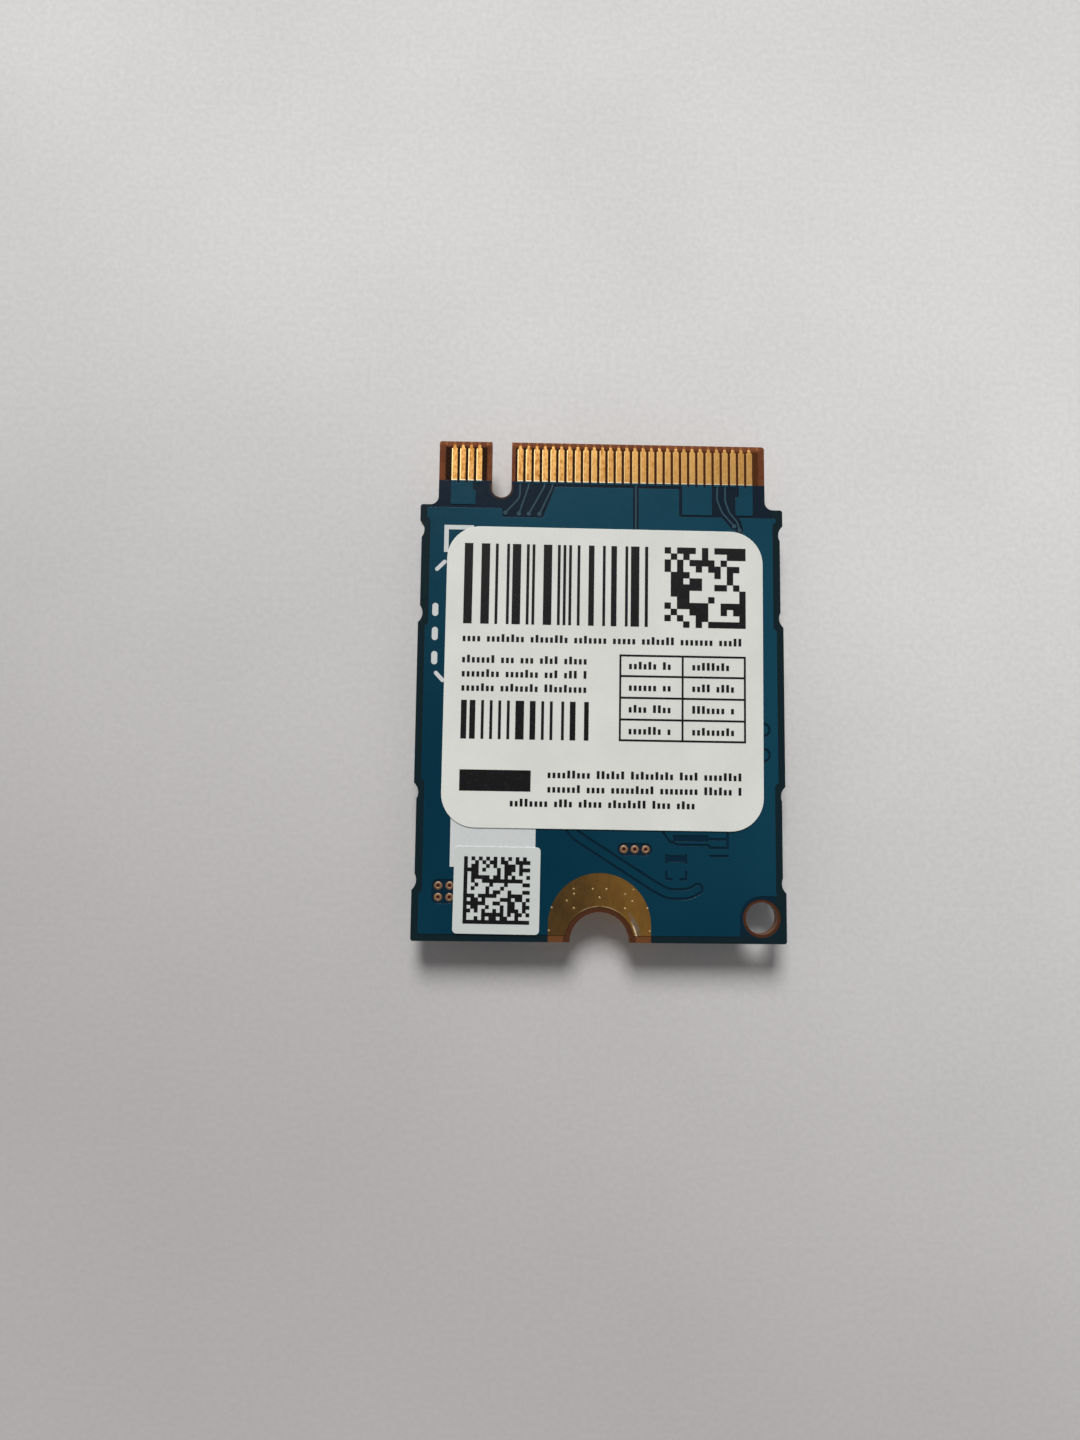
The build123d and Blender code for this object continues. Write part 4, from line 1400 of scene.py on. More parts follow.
    def paint(self, *layers: tuple[Finish, Place]) -> "Bench":
        """Gives faces their finishes, a later one over an earlier one.

        Args:
            layers: Each finish with a test of a face's middle and normal.

        Returns:
            This bench.
        """
        self.clear()
        mesh = self.thing.data
        for index, (finish, test) in enumerate(layers):
            mesh.materials.append(finish.material())
            for face in mesh.polygons:
                if test(face.center / MM, face.normal):
                    face.material_index = index
        return self

    def copy(self, name: str, place: Vector, turn: Vector = Vector()) -> Piece:
        """A copy with its own mesh, turned and then set in its place.

        Args:
            name: The copy's name.
            place: Where the model's origin goes.
            turn: Angles about X, Y and Z.

        Returns:
            The copy.
        """
        self.take()
        bpy.ops.object.duplicate(linked=False)
        twin = bpy.context.active_object
        twin.name = name
        twin.data.name = name
        twin.rotation_euler = turn
        twin.location = place * MM
        bpy.ops.object.transform_apply(location=True, rotation=True, scale=True)
        return twin

    def discard(self) -> None:
        """Takes the model off the bench once its copies are made."""
        self.clear()
        bpy.data.objects.remove(self.thing)

    def spread(self, name: str, places: list[Vector], turn: Vector = Vector()) -> Piece:
        """Sets a copy of the model in each place, and joins them in its stead.

        Args:
            name: The piece's name.
            places: Where the model's origin goes.
            turn: Angles about X, Y and Z.

        Returns:
            The piece.
        """
        copies = [self.copy(self.thing.name, place, turn) for place in places]
        self.discard()
        return join(name, copies)


def join(name: str, pieces: list[Piece]) -> Piece:
    """Joins copies into one piece.

    Args:
        name: The piece's name.
        pieces: The copies.

    Returns:
        The piece.
    """
    Bench.clear()
    for piece in pieces:
        piece.select_set(True)
    bpy.context.view_layer.objects.active = pieces[0]
    if len(pieces) > 1:
        bpy.ops.object.join()
    pieces[0].name = name
    pieces[0].data.name = name
    return pieces[0]


def seat(piece: Piece, slot: Slot, *nodes: str) -> Piece:
    """Fixes a finished piece to the card in place of its CAD nodes.

    Args:
        piece: The piece.
        slot: The record's slot that its finish belongs to; not used.
        nodes: The nodes that it stands for.

    Returns:
        The piece.
    """
    Bench.clear()
    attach(piece, BODY)
    if nodes:
        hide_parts(*nodes)
    return piece


class Assembly:
    """A group of pieces that is built and dressed together."""

    def build(self) -> list[Piece]:
        """Builds the pieces and returns them."""
        raise NotImplementedError


@dataclass
class CardBlank(Assembly):
    """The bare card: laminate, mask on both faces, the white legend and the solder on its lands."""

    dress: dict[str, Finish] = field(
        default_factory=lambda: {
            "circuit_board": LAMINATE,
            "solder_mask_rear": REAR_MASK,
            "solder_mask_front": FRONT_MASK,
            "legend_print": LEGEND_INK,
            "solder_lands": SOLDER,
        }
    )

    def build(self) -> list[Piece]:
        """Dresses the card's own solids."""
        return [coat(node, finish) for node, finish in self.dress.items()]


@dataclass
class EdgeContacts(Assembly):
    """Gold contacts on both faces of the tongue, each with a narrow plated neck at its tip."""

    neck_width: float = 0.18
    neck_length: float = 0.14
    taper_length: float = 0.1
    edge_round: float = 0.012
    support: float = 0.05
    crease: float = 20.0
    seed: int = 17

    def model(self, box: Box) -> Bench:
        """Models one contact on the bench, lying on the XY plane with its middle over the origin.

        Args:
            box: The box of one CAD contact.

        Returns:
            The bench.
        """
        size = box[1] - box[0]
        half_width = size.x / 2
        tip = size.y / 2
        shoulder = tip - self.neck_length - self.taper_length
        bench = Bench.box("contact", Vector((-half_width, -tip, 0)), Vector((half_width, shoulder, size.z)))
        bench.cut(Vector((0, shoulder - self.support, 0)), Vector((0, 1, 0)))
        bench.pick(Part.FACE, lambda middle, way: way.y > ALONG)
        bench.extrude(y=self.taper_length).resize(self.neck_width / size.x, 1.0, 1.0)
        bench.extrude(y=self.neck_length)
        top, end = size.z - NEAR, tip - NEAR
        bench.pick(
            Part.EDGE,
            lambda middle, way: middle.y > end or (middle.z > top and abs(middle.x) > HAIR),
        )
        bench.bevel(self.edge_round)
        return bench.smooth(self.crease).paint((FINGER_GOLD, everywhere))

    @staticmethod
    def mark(contact: Piece, box: Box, tone: float) -> None:
        """Gives a contact's points what its finish reads: its own tone and the place across it.

        Args:
            contact: The contact.
            box: The box of its CAD contact.
            tone: Its tone, from 0 to 1.
        """
        points = contact.data.vertices
        middle, half_width = (box[0].x + box[1].x) / 2, (box[1].x - box[0].x) / 2
        aside = [(point.co.x / MM - middle) / half_width for point in points]
        for name, values in (("tone", [tone] * len(points)), ("aside", aside)):
            contact.data.attributes.new(name, "FLOAT", "POINT").data.foreach_set("value", values)

    def build(self) -> list[Piece]:
        """Builds a row on each face.

        Returns:
            The rows.
        """
        rng = Random(self.seed)
        rows = []
        for side in Side:
            node = f"contact_fingers_{side.word}"
            boxes = solids_of(node)
            bench = self.model(boxes[0])
            copies = []
            for box in boxes:
                foot = box[0].z if side is Side.REAR else box[1].z
                copies.append(bench.copy("contact", over(box, foot), side.turn))
                self.mark(copies[-1], box, rng.random())
            bench.discard()
            rows.append(seat(join(f"edge_contacts_{side.word}", copies), Slot.CONTACT_GOLD, node))
        return rows


@dataclass
class ScrewPads(Assembly):
    """The plated arches round the screw notch, stitched through the card by plated holes."""

    paired: tuple[Point, ...] = (
        (0.4, -11.93), (1.5, -12.22), (1.92, -12.62), (1.5, -13.04), (2.8, -13.02), (2.95, -14.34),
    )
    single: tuple[Point, ...] = ((0.0, -12.42), (-1.52, -11.93), (2.0, -11.95))
    radius: float = 0.075
    height: float = 0.03
    sunk: float = 0.01
    wall: float = 0.3
    dome: tuple[Span, ...] = ((0.82, 0.33), (0.55, 0.25), (0.25, 0.12))
    sides: int = 14
    crease: float = 70.0

    def model(self) -> Bench:
        """Models one stitch: a low dome, with its foot sunk into the pad.

        Returns:
            The bench.
        """
        bench = Bench.drum("stitch", self.radius, -self.sunk, self.height * self.wall, self.sides)
        bench.pick(Part.FACE, facing_up)
        before = 1.0
        for share, rise in self.dome:
            bench.extrude(z=self.height * rise).resize(share / before, share / before, 1.0)
            before = share
        return bench.smooth(self.crease).paint((STITCH_GOLD, everywhere))

    def build(self) -> list[Piece]:
        """Dresses both pads and stitches them.

        Returns:
            The pads and their stitches.
        """
        mirrored = [(-x, y) for x, y in self.paired]
        pieces = []
        for side in Side:
            node = f"screw_pad_{side.word}"
            pieces.append(coat(node, PAD_GOLD))
            low, high = box_of(node)
            face = high.z if side is Side.REAR else low.z
            places = [Vector((x, y, face)) for x, y in (*self.paired, *mirrored, *self.single)]
            stitches = self.model().spread(f"pad_stitches_{side.word}", places, side.turn)
            pieces.append(seat(stitches, Slot.CONTACT_GOLD))
        return pieces


@dataclass
class TestVias(Assembly):
    """Plated and plugged test holes with a flange on each face."""

    barrel_radius: float = 0.13
    wall: float = 0.03
    bore_depth: float = 0.25
    bore_slack: float = 0.005
    flange: float = 0.04
    rim_round: float = 0.012
    sides: int = 24
    crease: float = 50.0

    def model(self, low: float, high: float, pad_radius: float) -> Bench:
        """Models one eyelet round the Z axis.

        Args:
            low: Level of its lower face.
            high: Level of its upper face.
            pad_radius: Radius of its flanges.

        Returns:
            The bench.
        """
        bench = Bench.drum("eyelet", self.barrel_radius, low, high, self.sides)
        lower, upper = low + self.flange, high - self.flange
        for level in (lower, upper):
            bench.cut(UPWARDS * level, UPWARDS)
        bench.pick(
            Part.FACE, lambda middle, way: abs(way.z) < ACROSS and not lower <= middle.z <= upper
        )
        bench.swell(pad_radius - self.barrel_radius)
        for end in (1, -1):
            bench.pick(Part.FACE, lambda middle, way: way.z * end > ALONG and middle.xy.length < self.wall)
            bench.inset(self.wall).extrude(z=-end * self.bore_depth)
        bench.pick(
            Part.EDGE,
            lambda middle, way: abs(way.z) < ACROSS
            and not low + NEAR <= middle.z <= high - NEAR
            and abs(middle.xy.normalized().dot(way.xy)) < ACROSS,
        )
        bench.bevel(self.rim_round)
        bore = self.barrel_radius - self.wall + self.bore_slack
        return bench.smooth(self.crease).paint(
            (VIA_GOLD, everywhere),
            # Painted shade on the bore walls
            (VIA_BORE_SHADE, lambda middle, way: abs(way.z) < ACROSS and middle.xy.length < bore),
            (
                VIA_PLUG,
                lambda middle, way: lower < middle.z < upper
                and abs(way.z) > ALONG
                and middle.xy.length < self.wall,
            ),
        )

    def build(self) -> list[Piece]:
        """Sets an eyelet in every hole.

        Returns:
            The eyelets, as one piece.
        """
        boxes = solids_of("test_vias")
        low, high = boxes[0]
        bench = self.model(low.z, high.z, (high.x - low.x) / 2)
        eyelets = bench.spread("test_eyelets", [over(box, 0.0) for box in boxes])
        return [seat(eyelets, Slot.CONTACT_GOLD, "test_vias")]


@dataclass
class Labels(Assembly):
    """The two paper labels and their plain print."""

    labels: dict[str, Finish] = field(
        default_factory=lambda: {"main_label": LABEL_STOCK, "code_label": CODE_STOCK}
    )

    def build(self) -> list[Piece]:
        """Dresses the labels and the print.

        Returns:
            The labels and their print.
        """
        pieces = []
        for label, stock in self.labels.items():
            pieces += [coat(label, stock), coat(f"{label}_print", PRINT_INK)]
        return pieces


@dataclass
class MemoryPackage(Assembly):
    """The sealed package that the card lies on, and the pressed solder balls that hold it."""

    corner_round: float = 0.06
    steps: int = 3
    edge_round: float = 0.03
    substrate: float = 0.22
    seam: float = 0.015
    mark_inset: float = 1.2
    mark_radius: float = 0.45
    mark_depth: float = 0.03
    mark_round: float = 0.02
    mark_sides: int = 40
    crease: float = 30.0
    ball_belly: float = 1.22
    ball_round: float = 0.03
    ball_sides: int = 10
    ball_crease: float = 60.0

    def dent(self, bench: Bench, place: Vector) -> None:
        """Sinks the first-corner mark into the package.

        Args:
            bench: The package.
            place: The mark's middle on the package's face.
        """
        depth = self.mark_depth
        cutter = Bench.drum("mark_cutter", self.mark_radius, -depth, depth, self.mark_sides)
        cutter.pick(Part.EDGE, lambda middle, way: middle.z > depth - NEAR and abs(way.z) < ACROSS)
        cutter.bevel(self.mark_round)
        cutter.clear()
        cutter.thing.location = place * MM
        # The exact solver turns the package inside out in some runs. This one leaves an empty slot.
        bench.apply("BOOLEAN", operation="DIFFERENCE", object=cutter.thing, solver="MANIFOLD")
        bench.thing.data.materials.clear()
        cutter.discard()

    def body(self) -> Piece:
        """Models the package: mould cap, substrate and the first-corner mark.

        Returns:
            The package.
        """
        low, high = box_of("memory_package")
        bench = Bench.box("memory_block", low, high)
        bench.pick(Part.EDGE, upright).bevel(self.corner_round, self.steps)
        seam = high.z - self.substrate
        bench.cut(UPWARDS * seam, UPWARDS)
        bench.pick(Part.FACE, lambda middle, way: abs(way.z) < ACROSS and middle.z > seam).swell(-self.seam)
        bench.pick(Part.EDGE, lambda middle, way: abs(way.z) < ACROSS and middle.z < low.z + NEAR)
        bench.bevel(self.edge_round)
        self.dent(bench, Vector((high.x - self.mark_inset, high.y - self.mark_inset, low.z)))
        bench.smooth(self.crease).paint(
            (MOULD, everywhere), (SUBSTRATE, lambda middle, way: middle.z > seam and way.z < ALONG)
        )
        return seat(bench.thing, Slot.PACKAGE_MOULD, "memory_package")

    def balls(self) -> Piece:
        """Models one pressed ball and sets it at every joint.

        Returns:
            The balls, as one piece.
        """
        boxes = solids_of("package_solder_balls")
        low, high = boxes[0]
        belly = (low.z + high.z) / 2
        radius = (high.x - low.x) / 2
        bench = Bench.drum("ball", radius / self.ball_belly, low.z, high.z, self.ball_sides)
        bench.cut(UPWARDS * belly, UPWARDS)
        bench.pick(Part.EDGE, lambda middle, way: abs(middle.z - belly) < NEAR)
        bench.resize(self.ball_belly, self.ball_belly, 1.0).bevel(self.ball_round, 1)
        bench.smooth(self.ball_crease).paint((SOLDER, everywhere))
        balls = bench.spread("pressed_balls", [over(box, 0.0) for box in boxes])
        return seat(balls, Slot.SOLDER, "package_solder_balls")

    def build(self) -> list[Piece]:
        """Builds the package and its joints."""
        return [self.body(), self.balls()]


@dataclass
class FrontCopper(Assembly):
    """Covered vias and narrow traces that stand up under the front mask."""

    via_radius: float = 0.15
    via_height: float = 0.014
    via_wall: float = 0.4
    via_crown: float = 0.82
    via_lip: float = 0.28
    via_sides: int = 16
    via_crease: float = 60.0
    dimple_depth: float = 0.8
    dimple_floor: float = 0.6
    dimple_reach: float = 0.5
    trace_width: float = 0.12
    trace_height: float = 0.012
    trace_round: float = 0.8
    trace_crease: float = 50.0
    lengthwise: float = 0.5
    sunk: float = 0.006
    clearance: float = 0.12
    openings: tuple[Patch, ...] = ((-6.75, 11.3, -5.5, 15.0), (8.35, -14.7, 10.7, -12.35))
    lead_line: float = 12.5
    lead_rows: tuple[float, ...] = (12.0, 11.55)
    lead_bend: float = 11.15
    lead_reach: float = 0.7
    lead_share: float = 0.62
    fence_x: float = 10.42
    fence_pitch: float = 1.45
    grid: float = 0.5
    strip_start: float = -14.4
    strip_gap: float = 0.3
    strip_share: float = 0.24
    strip_jog: float = 0.3
    tuck: float = 0.1
    seed: int = 29

    def __post_init__(self) -> None:
        """Gathers what stands on the front face and draws nothing yet."""
        self.level = box_of("solder_mask_front")[0].z
        self.package = box_of("memory_package")
        parts = [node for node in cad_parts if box_of(node)[1].z <= self.level + HAIR]
        boxes = [box_of(node) for node in sorted(parts) if node != "package_solder_balls"]
        boxes += solids_of("solder_lands") + solids_of("test_vias") + [box_of("screw_pad_front")]
        taken = [(low.x, low.y, high.x, high.y) for low, high in boxes]
        self.taken: list[Patch] = [*taken, *self.openings]
        self.vias: list[Point] = []
        self.traces: list[list[Point]] = []

    def free(self, left: float, low: float, right: float, high: float) -> bool:
        """Says whether a rectangle is clear of everything on the front face."""
        gap = self.clearance
        return all(
            right + gap < box[0] or left - gap > box[2] or high + gap < box[1] or low - gap > box[3]
            for box in self.taken
        )

    def via(self, x: float, y: float) -> bool:
        """Drills a via where there is room.

        Args:
            x: Its place across the card.
            y: Its place along the card.

        Returns:
            Whether there was room.
        """
        reach = self.via_radius
        spot = (x - reach, y - reach, x + reach, y + reach)
        if not self.free(*spot):
            return False
        self.taken.append(spot)
        self.vias.append((x, y))
        return True

    def trace(self, points: list[Point]) -> None:
        """Runs a trace along the card and keeps its ground.

        Args:
            points: The trace's points.
        """
        half = self.trace_width / 2
        for (x0, y0), (x1, y1) in zip(points, points[1:]):
            self.taken.append((min(x0, x1) - half, min(y0, y1), max(x0, x1) + half, max(y0, y1)))
        self.traces.append(points)

    def lead_out(self, rng: Random) -> None:
        """Leads the contacts to the nearest lands and to vias of their own.

        Args:
            rng: Source of the draws.
        """
        lands = [box for box in solids_of("solder_lands") if box[1].y > self.package[1].y]
        contacts = [(low.x + high.x) / 2 for low, high in solids_of("contact_fingers_front")]
        led = set()
        for low, high in lands:
            middle = (low.x + high.x) / 2
            near = min(contacts, key=lambda x: abs(x - middle))
            aside = middle - near
            if near in led or abs(aside) > self.lead_reach:
                continue
            led.add(near)
            bend = self.lead_bend - abs(aside)
            self.trace([(near, self.lead_line), (near, self.lead_bend), (middle, bend), (middle, high.y)])
        for index, x in enumerate(contacts):
            row = self.lead_rows[index % len(self.lead_rows)]
            if x not in led and rng.random() < self.lead_share and self.via(x, row):
                self.trace([(x, self.lead_line), (x, row)])

    def fence(self) -> None:
        """Stitches the card's long edges."""
        low, high = self.package[0].y, self.package[1].y
        for step in range(int((high - low) / self.fence_pitch) + 1):
            for x in (-self.fence_x, self.fence_x):
                self.via(x, low + step * self.fence_pitch)

    def scatter(self, low: float, high: float, rng: Random) -> None:
        """Scatters vias over a strip of the card and runs some of them under the package.

        Args:
            low: Lower limit of the strip.
            high: Upper limit of the strip.
            rng: Source of the draws.
        """
        columns = int(2 * self.fence_x / self.grid)
        edge = self.package[0].y
        jog, room = self.strip_jog, self.clearance * 2
        for row in range(int((high - low) / self.grid) + 1):
            for column in range(columns + 1):
                x = -self.fence_x + column * self.grid
                y = low + row * self.grid
                if rng.random() > self.strip_share or not self.via(x, y):
                    continue
                start = y + self.via_radius + room
                beside = x + rng.choice((-jog, jog))
                if y < edge and self.free(x - jog, start, x + jog, edge - room):
                    bend = (start + edge - jog) / 2
                    self.trace([(x, y), (x, bend), (beside, bend + jog), (beside, edge + self.tuck)])

    def dome(self) -> Bench:
        """Models one covered via: a low ring with a dimple, its foot sunk into the mask.

        Returns:
            The bench.
        """
        rise, radius = self.via_height, self.via_radius
        bench = Bench.drum("via", radius, -rise * self.via_wall, self.sunk, self.via_sides)
        bench.pick(Part.FACE, facing_down)
        bench.extrude(z=-rise * (1 - self.via_wall)).resize(self.via_crown, self.via_crown, 1.0)
        bench.inset(radius * self.via_lip)
        bench.extrude(z=rise * self.dimple_depth).resize(self.dimple_floor, self.dimple_floor, 1.0)
        dimple = radius * self.dimple_reach
        return bench.smooth(self.via_crease).paint(
            (FRONT_COPPER, everywhere), (FRONT_MASK, lambda middle, way: middle.xy.length < dimple)
        )

    def rib(self, points: list[Point]) -> Piece:
        """Models one trace: a block at its start, drawn out along its points.

        Args:
            points: The trace's points, running along the card.

        Returns:
            The trace.
        """
        half = self.trace_width / 2
        (x, y), (_, stop) = points[:2]
        low = Vector((x - half, min(y, stop), self.level - self.trace_height))
        bench = Bench.box("trace", low, Vector((x + half, max(y, stop), self.level + self.sunk)))
        ahead = 1 if stop > y else -1
        bench.pick(Part.FACE, lambda middle, way: way.y * ahead > ALONG)
        for (x0, y0), (x1, y1) in zip(points[1:], points[2:]):
            bench.extrude(x=x1 - x0, y=y1 - y0)
        bench.pick(Part.EDGE, lambda middle, way: middle.z < low.z + NEAR and abs(way.y) > self.lengthwise)
        bench.bevel(self.trace_height * self.trace_round)
        return bench.smooth(self.trace_crease).paint((FRONT_COPPER, everywhere)).thing

    def build(self) -> list[Piece]:
        """Lays out the copper, then models the vias and the traces.

        Returns:
            The vias and the traces, each as one piece.
        """
        rng = Random(self.seed)
        self.lead_out(rng)
        self.fence()
        self.scatter(self.strip_start, self.package[0].y - self.strip_gap, rng)
        self.scatter(self.package[1].y + self.strip_gap, self.lead_bend, rng)
        vias = self.dome().spread("covered_vias", [Vector((x, y, self.level)) for x, y in self.vias])
        traces = join("front_traces", [self.rib(points) for points in self.traces])
        return [seat(vias, Slot.MASK), seat(traces, Slot.MASK)]


@dataclass
class LeadlessParts(Assembly):
    """The power controller and the voltage detector, each with a dot at its first lead."""

    parts: tuple[str, ...] = ("power_controller", "voltage_detector")
    dot_share: float = 0.07
    dot_inset: float = 0.17
    dot_height: float = 0.004
    dot_sunk: float = 0.002
    dot_lip: float = 0.35
    dot_dish: float = 0.6
    dot_sides: int = 24
    crease: float = 40.0

    def dot(self, part: str) -> Piece:
        """Models the dot at a part's first lead.

        Args:
            part: The part's node.

        Returns:
            The dot.
        """
        low, high = box_of(part)
        size = high.x - low.x
        radius = size * self.dot_share
        bench = Bench.drum("dot", radius, -self.dot_height, self.dot_sunk, self.dot_sides)
        bench.pick(Part.FACE, facing_down)
        bench.inset(radius * self.dot_lip).lift(self.dot_height * self.dot_dish)
        bench.smooth(self.crease).paint((LEGEND_INK, everywhere))
        inset = size * self.dot_inset
        place = Vector((low.x + inset, high.y - inset, low.z))
        return seat(bench.spread(f"{part}_dot", [place]), Slot.LEGEND)

    def build(self) -> list[Piece]:
        """Dresses the bodies and leads, and marks the first lead.

        Returns:
            The bodies, leads and dots.
        """
        pieces = []
        for part in self.parts:
            pieces += [coat(part, MOULD), coat(f"{part}_leads", TIN), self.dot(part)]
        return pieces


@dataclass(frozen=True)
class ChipKind:
    """One kind of two-ended chip: its slot, its finishes and the length of its metal ends."""

    slot: Slot
    body: Finish
    end: float
    face: Optional[Finish] = None
    edge_round: float = 0.03


class ChipStock(Enum):
    """The kinds of chip on the card."""

    SMALL_CAPACITOR = ChipKind(Slot.CAPACITOR, CERAMIC, 0.25)
    LARGE_CAPACITOR = ChipKind(Slot.CAPACITOR, CERAMIC, 0.35, edge_round=0.045)
    RESISTOR = ChipKind(Slot.RESISTOR, ALUMINA, 0.25, OVERCOAT, 0.02)
    INDUCTOR = ChipKind(Slot.INDUCTOR, COMPOSITE, 0.4, edge_round=0.06)
    FUSE = ChipKind(Slot.FUSE, IVORY, 0.35, OVERCOAT, 0.03)


@dataclass
class ChipParts(Assembly):
    """Chip capacitors, resistors, inductors and the fuse, each soldered to its lands."""

    prefixes: tuple[str, ...] = ("capacitor", "resistor", "inductor", "chip")
    body_inset: float = 0.02
    toe: float = 0.12
    fillet: tuple[tuple[float, float, float], ...] = ((0.3, 0.98, 0.5), (0.7, 0.94, 0.12))
    climb: float = 0.55
    edge_gap: float = 0.01
    large_length: float = 1.3
    crease: float = 40.0

    def stock_of(self, node: str, length: float) -> ChipStock:
        """The kind of a chip.

        Args:
            node: Its CAD node.
            length: Its length.

        Returns:
            The kind.
        """
        if node.startswith("resistor"):
            return ChipStock.RESISTOR
        if node.startswith("inductor"):
            return ChipStock.INDUCTOR
        if node.startswith("capacitor"):
            return ChipStock.LARGE_CAPACITOR if length > self.large_length else ChipStock.SMALL_CAPACITOR
        return ChipStock.FUSE

    def cap_edges(self, inner: float, far: Vector) -> Place:
        """Which edges of the metal ends are rounded: the outer ones above the solder.

        Args:
            inner: Where the metal ends start, from the chip's middle.
            far: Half the chip's length, half its width and its height.

        Returns:
            The test.
        """
        start, top = inner + self.edge_gap, far.z * self.climb + self.edge_gap

        def test(middle: Vector, way: Vector) -> bool:
            """Says whether an edge is an outer one.

            Args:
                middle: The edge's middle.
                way: Its direction.

            Returns:
                Whether it is.
            """
            on_side = abs(abs(middle.y) - far.y) < NEAR
            on_end = abs(abs(middle.x) - far.x) < NEAR
            on_face = middle.z < NEAR - far.z
            inside = abs(way.x) > ALONG and abs(middle.y) < far.y - NEAR
            beyond = abs(middle.x) > start and middle.z < -top
            return beyond and (on_face or abs(way.z) > ALONG) and (on_side or on_end) and not inside

        return test

    def model(self, kind: ChipKind, length: float, width: float, height: float) -> Bench:
        """Models one chip under the XY plane, lengthwise along X, with its solder fillets.

        Args:
            kind: Its finishes.
            length: Its length over the metal ends.
            width: Its width.
            height: Its height.

        Returns:
            The bench.
        """
        far = Vector((length / 2, width / 2, height))
        reach, inner = length / 2, length / 2 - kind.end
        solder = -height * self.climb
        bench = Bench.box("chip", Vector((-far.x, -far.y, -far.z)), Vector((far.x, far.y, 0)))
        for x in (-inner, inner):
            bench.cut(Vector((x, 0, 0)), Vector((1, 0, 0)))
        bench.cut(UPWARDS * solder, UPWARDS)
        bench.pick(Part.FACE, lambda middle, way: abs(middle.x) < inner and abs(way.x) < ACROSS)
        bench.swell(-self.body_inset)
        bench.pick(Part.EDGE, self.cap_edges(inner, far)).bevel(kind.edge_round)
        for out in (-1, 1):
            bench.pick(
                Part.FACE,
                lambda middle, way: way.x * out > ALONG
                and middle.x * out > reach - NEAR
                and middle.z > solder,
            )
            for share, wide, tall in self.fillet:
                bench.extrude(x=out * self.toe * share).resize(1.0, wide, tall)
        layers = [(kind.body, everywhere)]
        if kind.face is not None:
            face = -height + self.body_inset + NEAR
            layers.append((kind.face, lambda middle, way: way.z < -ALONG and middle.z < face))
        layers.append((TIN, lambda middle, way: abs(middle.x) > inner + SLIVER))
        layers.append((SOLDER, lambda middle, way: abs(middle.x) > reach + SLIVER))
        return bench.smooth(self.crease).paint(*layers)

    def build(self) -> list[Piece]:
        """Builds every chip in its CAD node's place.

        Returns:
            The chips.
        """
        pieces = []
        shelf: dict[tuple, Bench] = {}
        for node in sorted(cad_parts):
            if not node.startswith(self.prefixes):
                continue
            low, high = box_of(node)
            size = high - low
            turned = size.y > size.x
            length, width = (size.y, size.x) if turned else (size.x, size.y)
            stock = self.stock_of(node, length)
            key = (stock, turned)
            if key not in shelf:
                shelf[key] = self.model(stock.value, length, width, size.z)
            turn = Vector((0, 0, math.pi / 2 if turned else 0))
            chip = shelf[key].copy(f"{node}_part", over((low, high), high.z), turn)
            pieces.append(seat(chip, stock.value.slot, node))
        for bench in shelf.values():
            bench.discard()
        return pieces


@dataclass
class ClockCrystal(Assembly):
    """The clock crystal: a ceramic base with a welded metal lid."""

    base_height: float = 0.35
    lid_inset: float = 0.12
    corner_round: float = 0.2
    lid_round: float = 0.04
    steps: int = 3
    crease: float = 40.0

    def build(self) -> list[Piece]:
        """Models the base and raises the lid from it.

        Returns:
            The crystal.
        """
        low, high = box_of("clock_crystal")
        level = high.z - self.base_height
        bench = Bench.box("crystal_can", Vector((low.x, low.y, level)), high)
        bench.pick(Part.EDGE, upright).bevel(self.corner_round, self.steps)
        bench.pick(Part.FACE, facing_down).inset(self.lid_inset).extrude(z=low.z - level)
        bench.pick(Part.EDGE, lambda middle, way: abs(way.z) < ACROSS and middle.z < low.z + NEAR)
        bench.bevel(self.lid_round, self.steps)
        bench.smooth(self.crease).paint(
            (CRYSTAL_BASE, everywhere), (LID, lambda middle, way: middle.z < level - NEAR)
        )
        return [seat(bench.thing, Slot.CRYSTAL, "clock_crystal")]


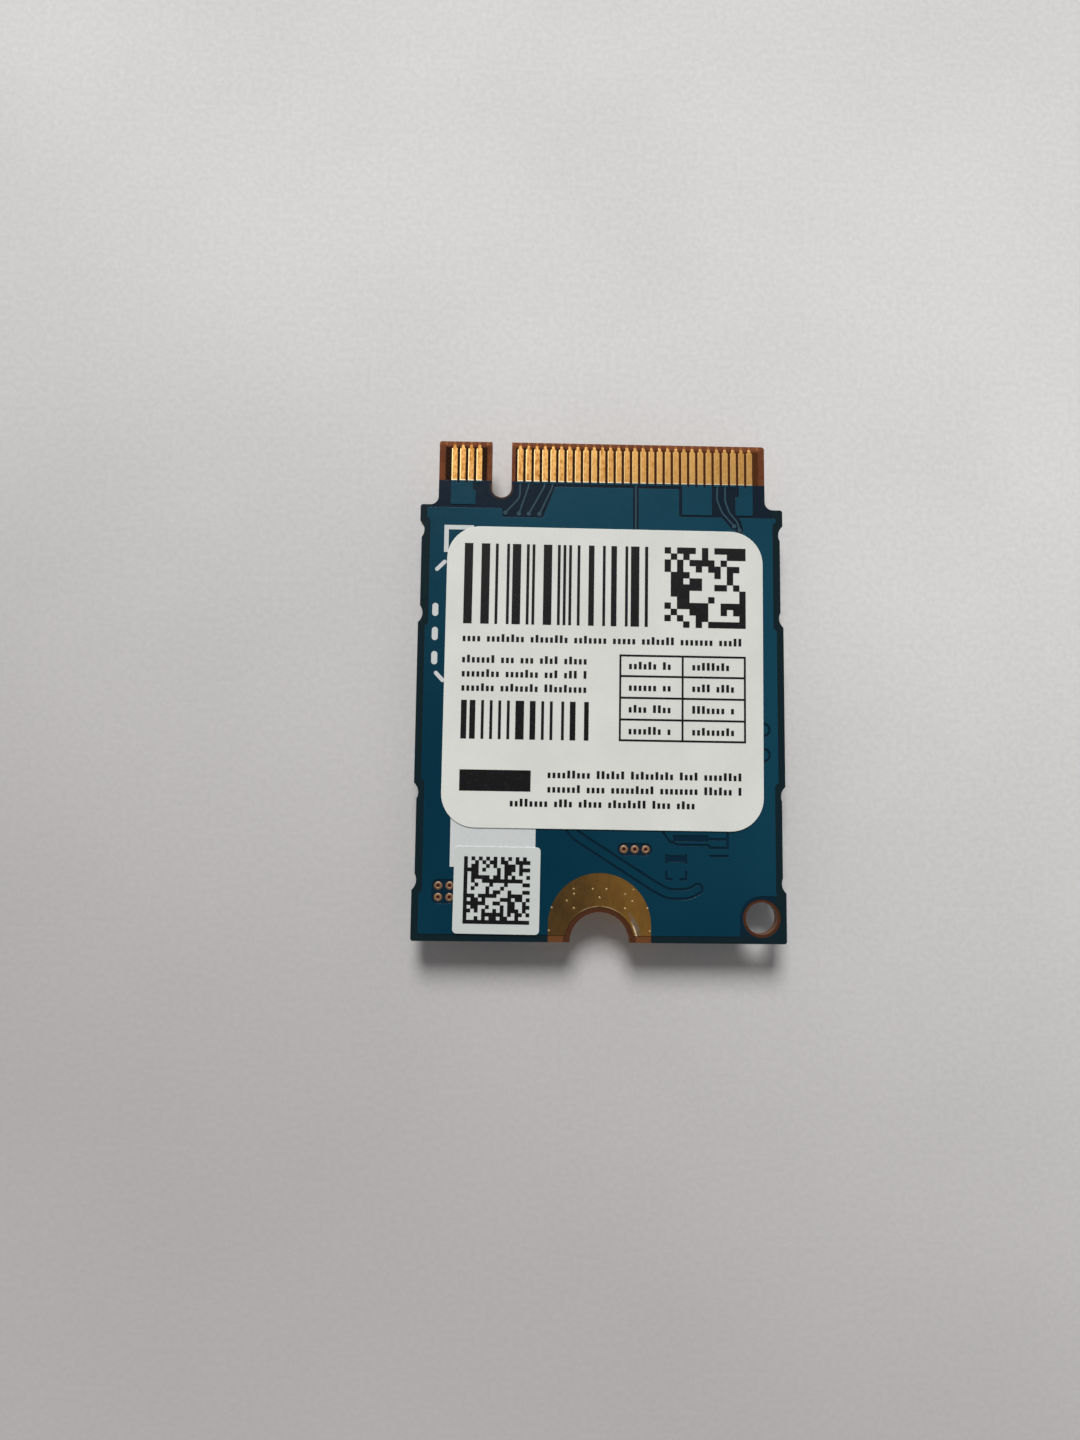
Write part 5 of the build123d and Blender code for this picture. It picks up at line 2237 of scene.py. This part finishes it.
@dataclass
class Studio:
    """A pale floor, a soft key light from behind the contacts, an even sky and the camera."""

    floor_size: float = 4000.0
    floor_drop: float = 0.01
    horizon: float = 0.62
    zenith: float = 0.1
    zenith_blue: float = 1.02
    key_height: float = 43.0
    key_bearing: float = 6.0
    key_spread: float = 24.0
    key_strength: float = 3.36
    under_strength: float = 0.25
    under_size: float = 300.0
    under_drop: float = 150.0
    lens: float = 21.9
    sensor: float = 36.0
    clip: Span = (1.0, 20000.0)
    camera_place: tuple[float, float, float] = (-4.559, -6.437, 54.153)
    camera_turn: tuple[float, float, float] = (0.08452, -0.01919, 0.01229)

    @staticmethod
    def stand(name: str, data: bpy.types.ID) -> Piece:
        """Sets a lamp or a camera up in the scene.

        Args:
            name: Its name.
            data: Its lamp or camera data.

        Returns:
            Its object.
        """
        thing = bpy.data.objects.new(name, data)
        bpy.context.scene.collection.objects.link(thing)
        return thing

    def sky(self) -> None:
        """Lights the card from all round, brightest at the horizon."""
        world = bpy.data.worlds.new("sky")
        bpy.context.scene.world = world
        world.use_nodes = True
        sheet = Sheet(world.node_tree)
        up = sheet.axes(sheet.add("ShaderNodeTexCoord").outputs["Generated"])[2]
        low = (self.horizon, self.horizon, self.horizon, 1.0)
        high = (self.zenith, self.zenith, self.zenith * self.zenith_blue, 1.0)
        colour = sheet.mix(sheet.work("MAXIMUM", up, 0.0), low, high)
        sheet.wire(world.node_tree.nodes["Background"], {"Color": colour})

    def floor(self) -> None:
        """Lays the floor."""
        Bench.clear()
        bpy.ops.mesh.primitive_plane_add(size=self.floor_size * MM, location=(0, 0, -self.floor_drop * MM))
        floor = bpy.context.active_object
        floor.name = "floor"
        floor.data.materials.append(FLOOR_PAPER.material())

    def key(self) -> None:
        """Sets the key light."""
        lamp = bpy.data.lights.new("key", "SUN")
        lamp.energy = self.key_strength
        lamp.angle = math.radians(self.key_spread)
        tilt = math.radians(90 - self.key_height)
        self.stand("key", lamp).rotation_euler = (-tilt, 0.0, math.radians(self.key_bearing))

    def under(self, pieces: list[Piece]) -> None:
        """Sets a weak light under the floor that reaches the card alone.

        Args:
            pieces: The card's pieces.
        """
        reached = bpy.data.collections.new("card_pieces")
        for piece in pieces:
            reached.objects.link(piece)
        lamp = bpy.data.lights.new("under", "AREA")
        lamp.size = self.under_size * MM
        lamp.energy = self.under_strength
        light = self.stand("under", lamp)
        light.location = UPWARDS * -self.under_drop * MM
        light.rotation_euler = (math.pi, 0, 0)
        light.light_linking.receiver_collection = reached
        light.light_linking.blocker_collection = reached

    def camera(self) -> None:
        """Sets the camera where the photograph was taken from."""
        data = bpy.data.cameras.new("camera")
        data.lens = self.lens
        data.sensor_width = self.sensor
        data.clip_start, data.clip_end = (limit * MM for limit in self.clip)
        camera = self.stand("camera", data)
        camera.location = Vector(self.camera_place) * MM
        camera.rotation_euler = self.camera_turn
        bpy.context.scene.camera = camera

    def build(self, pieces: list[Piece]) -> None:
        """Builds the studio round the card.

        Args:
            pieces: The card's pieces.
        """
        self.sky()
        self.floor()
        self.key()
        self.under(pieces)
        self.camera()
        bpy.context.scene.view_settings.view_transform = "Standard"


def main() -> None:
    """Builds the card's assemblies in order, then the studio."""
    logging.basicConfig(level=logging.INFO, format="%(message)s")
    assemblies = [
        CardBlank(),
        EdgeContacts(),
        ScrewPads(),
        TestVias(),
        Labels(),
        MemoryPackage(),
        FrontCopper(),
        LeadlessParts(),
        ChipParts(),
        ClockCrystal(),
    ]
    pieces = []
    for assembly in assemblies:
        for piece in assembly.build():
            LOG.info("%s: %s, %d faces", type(assembly).__name__, piece.name, len(piece.data.polygons))
            pieces.append(piece)
    Studio().build(pieces)


if __name__ == "__main__":
    main()
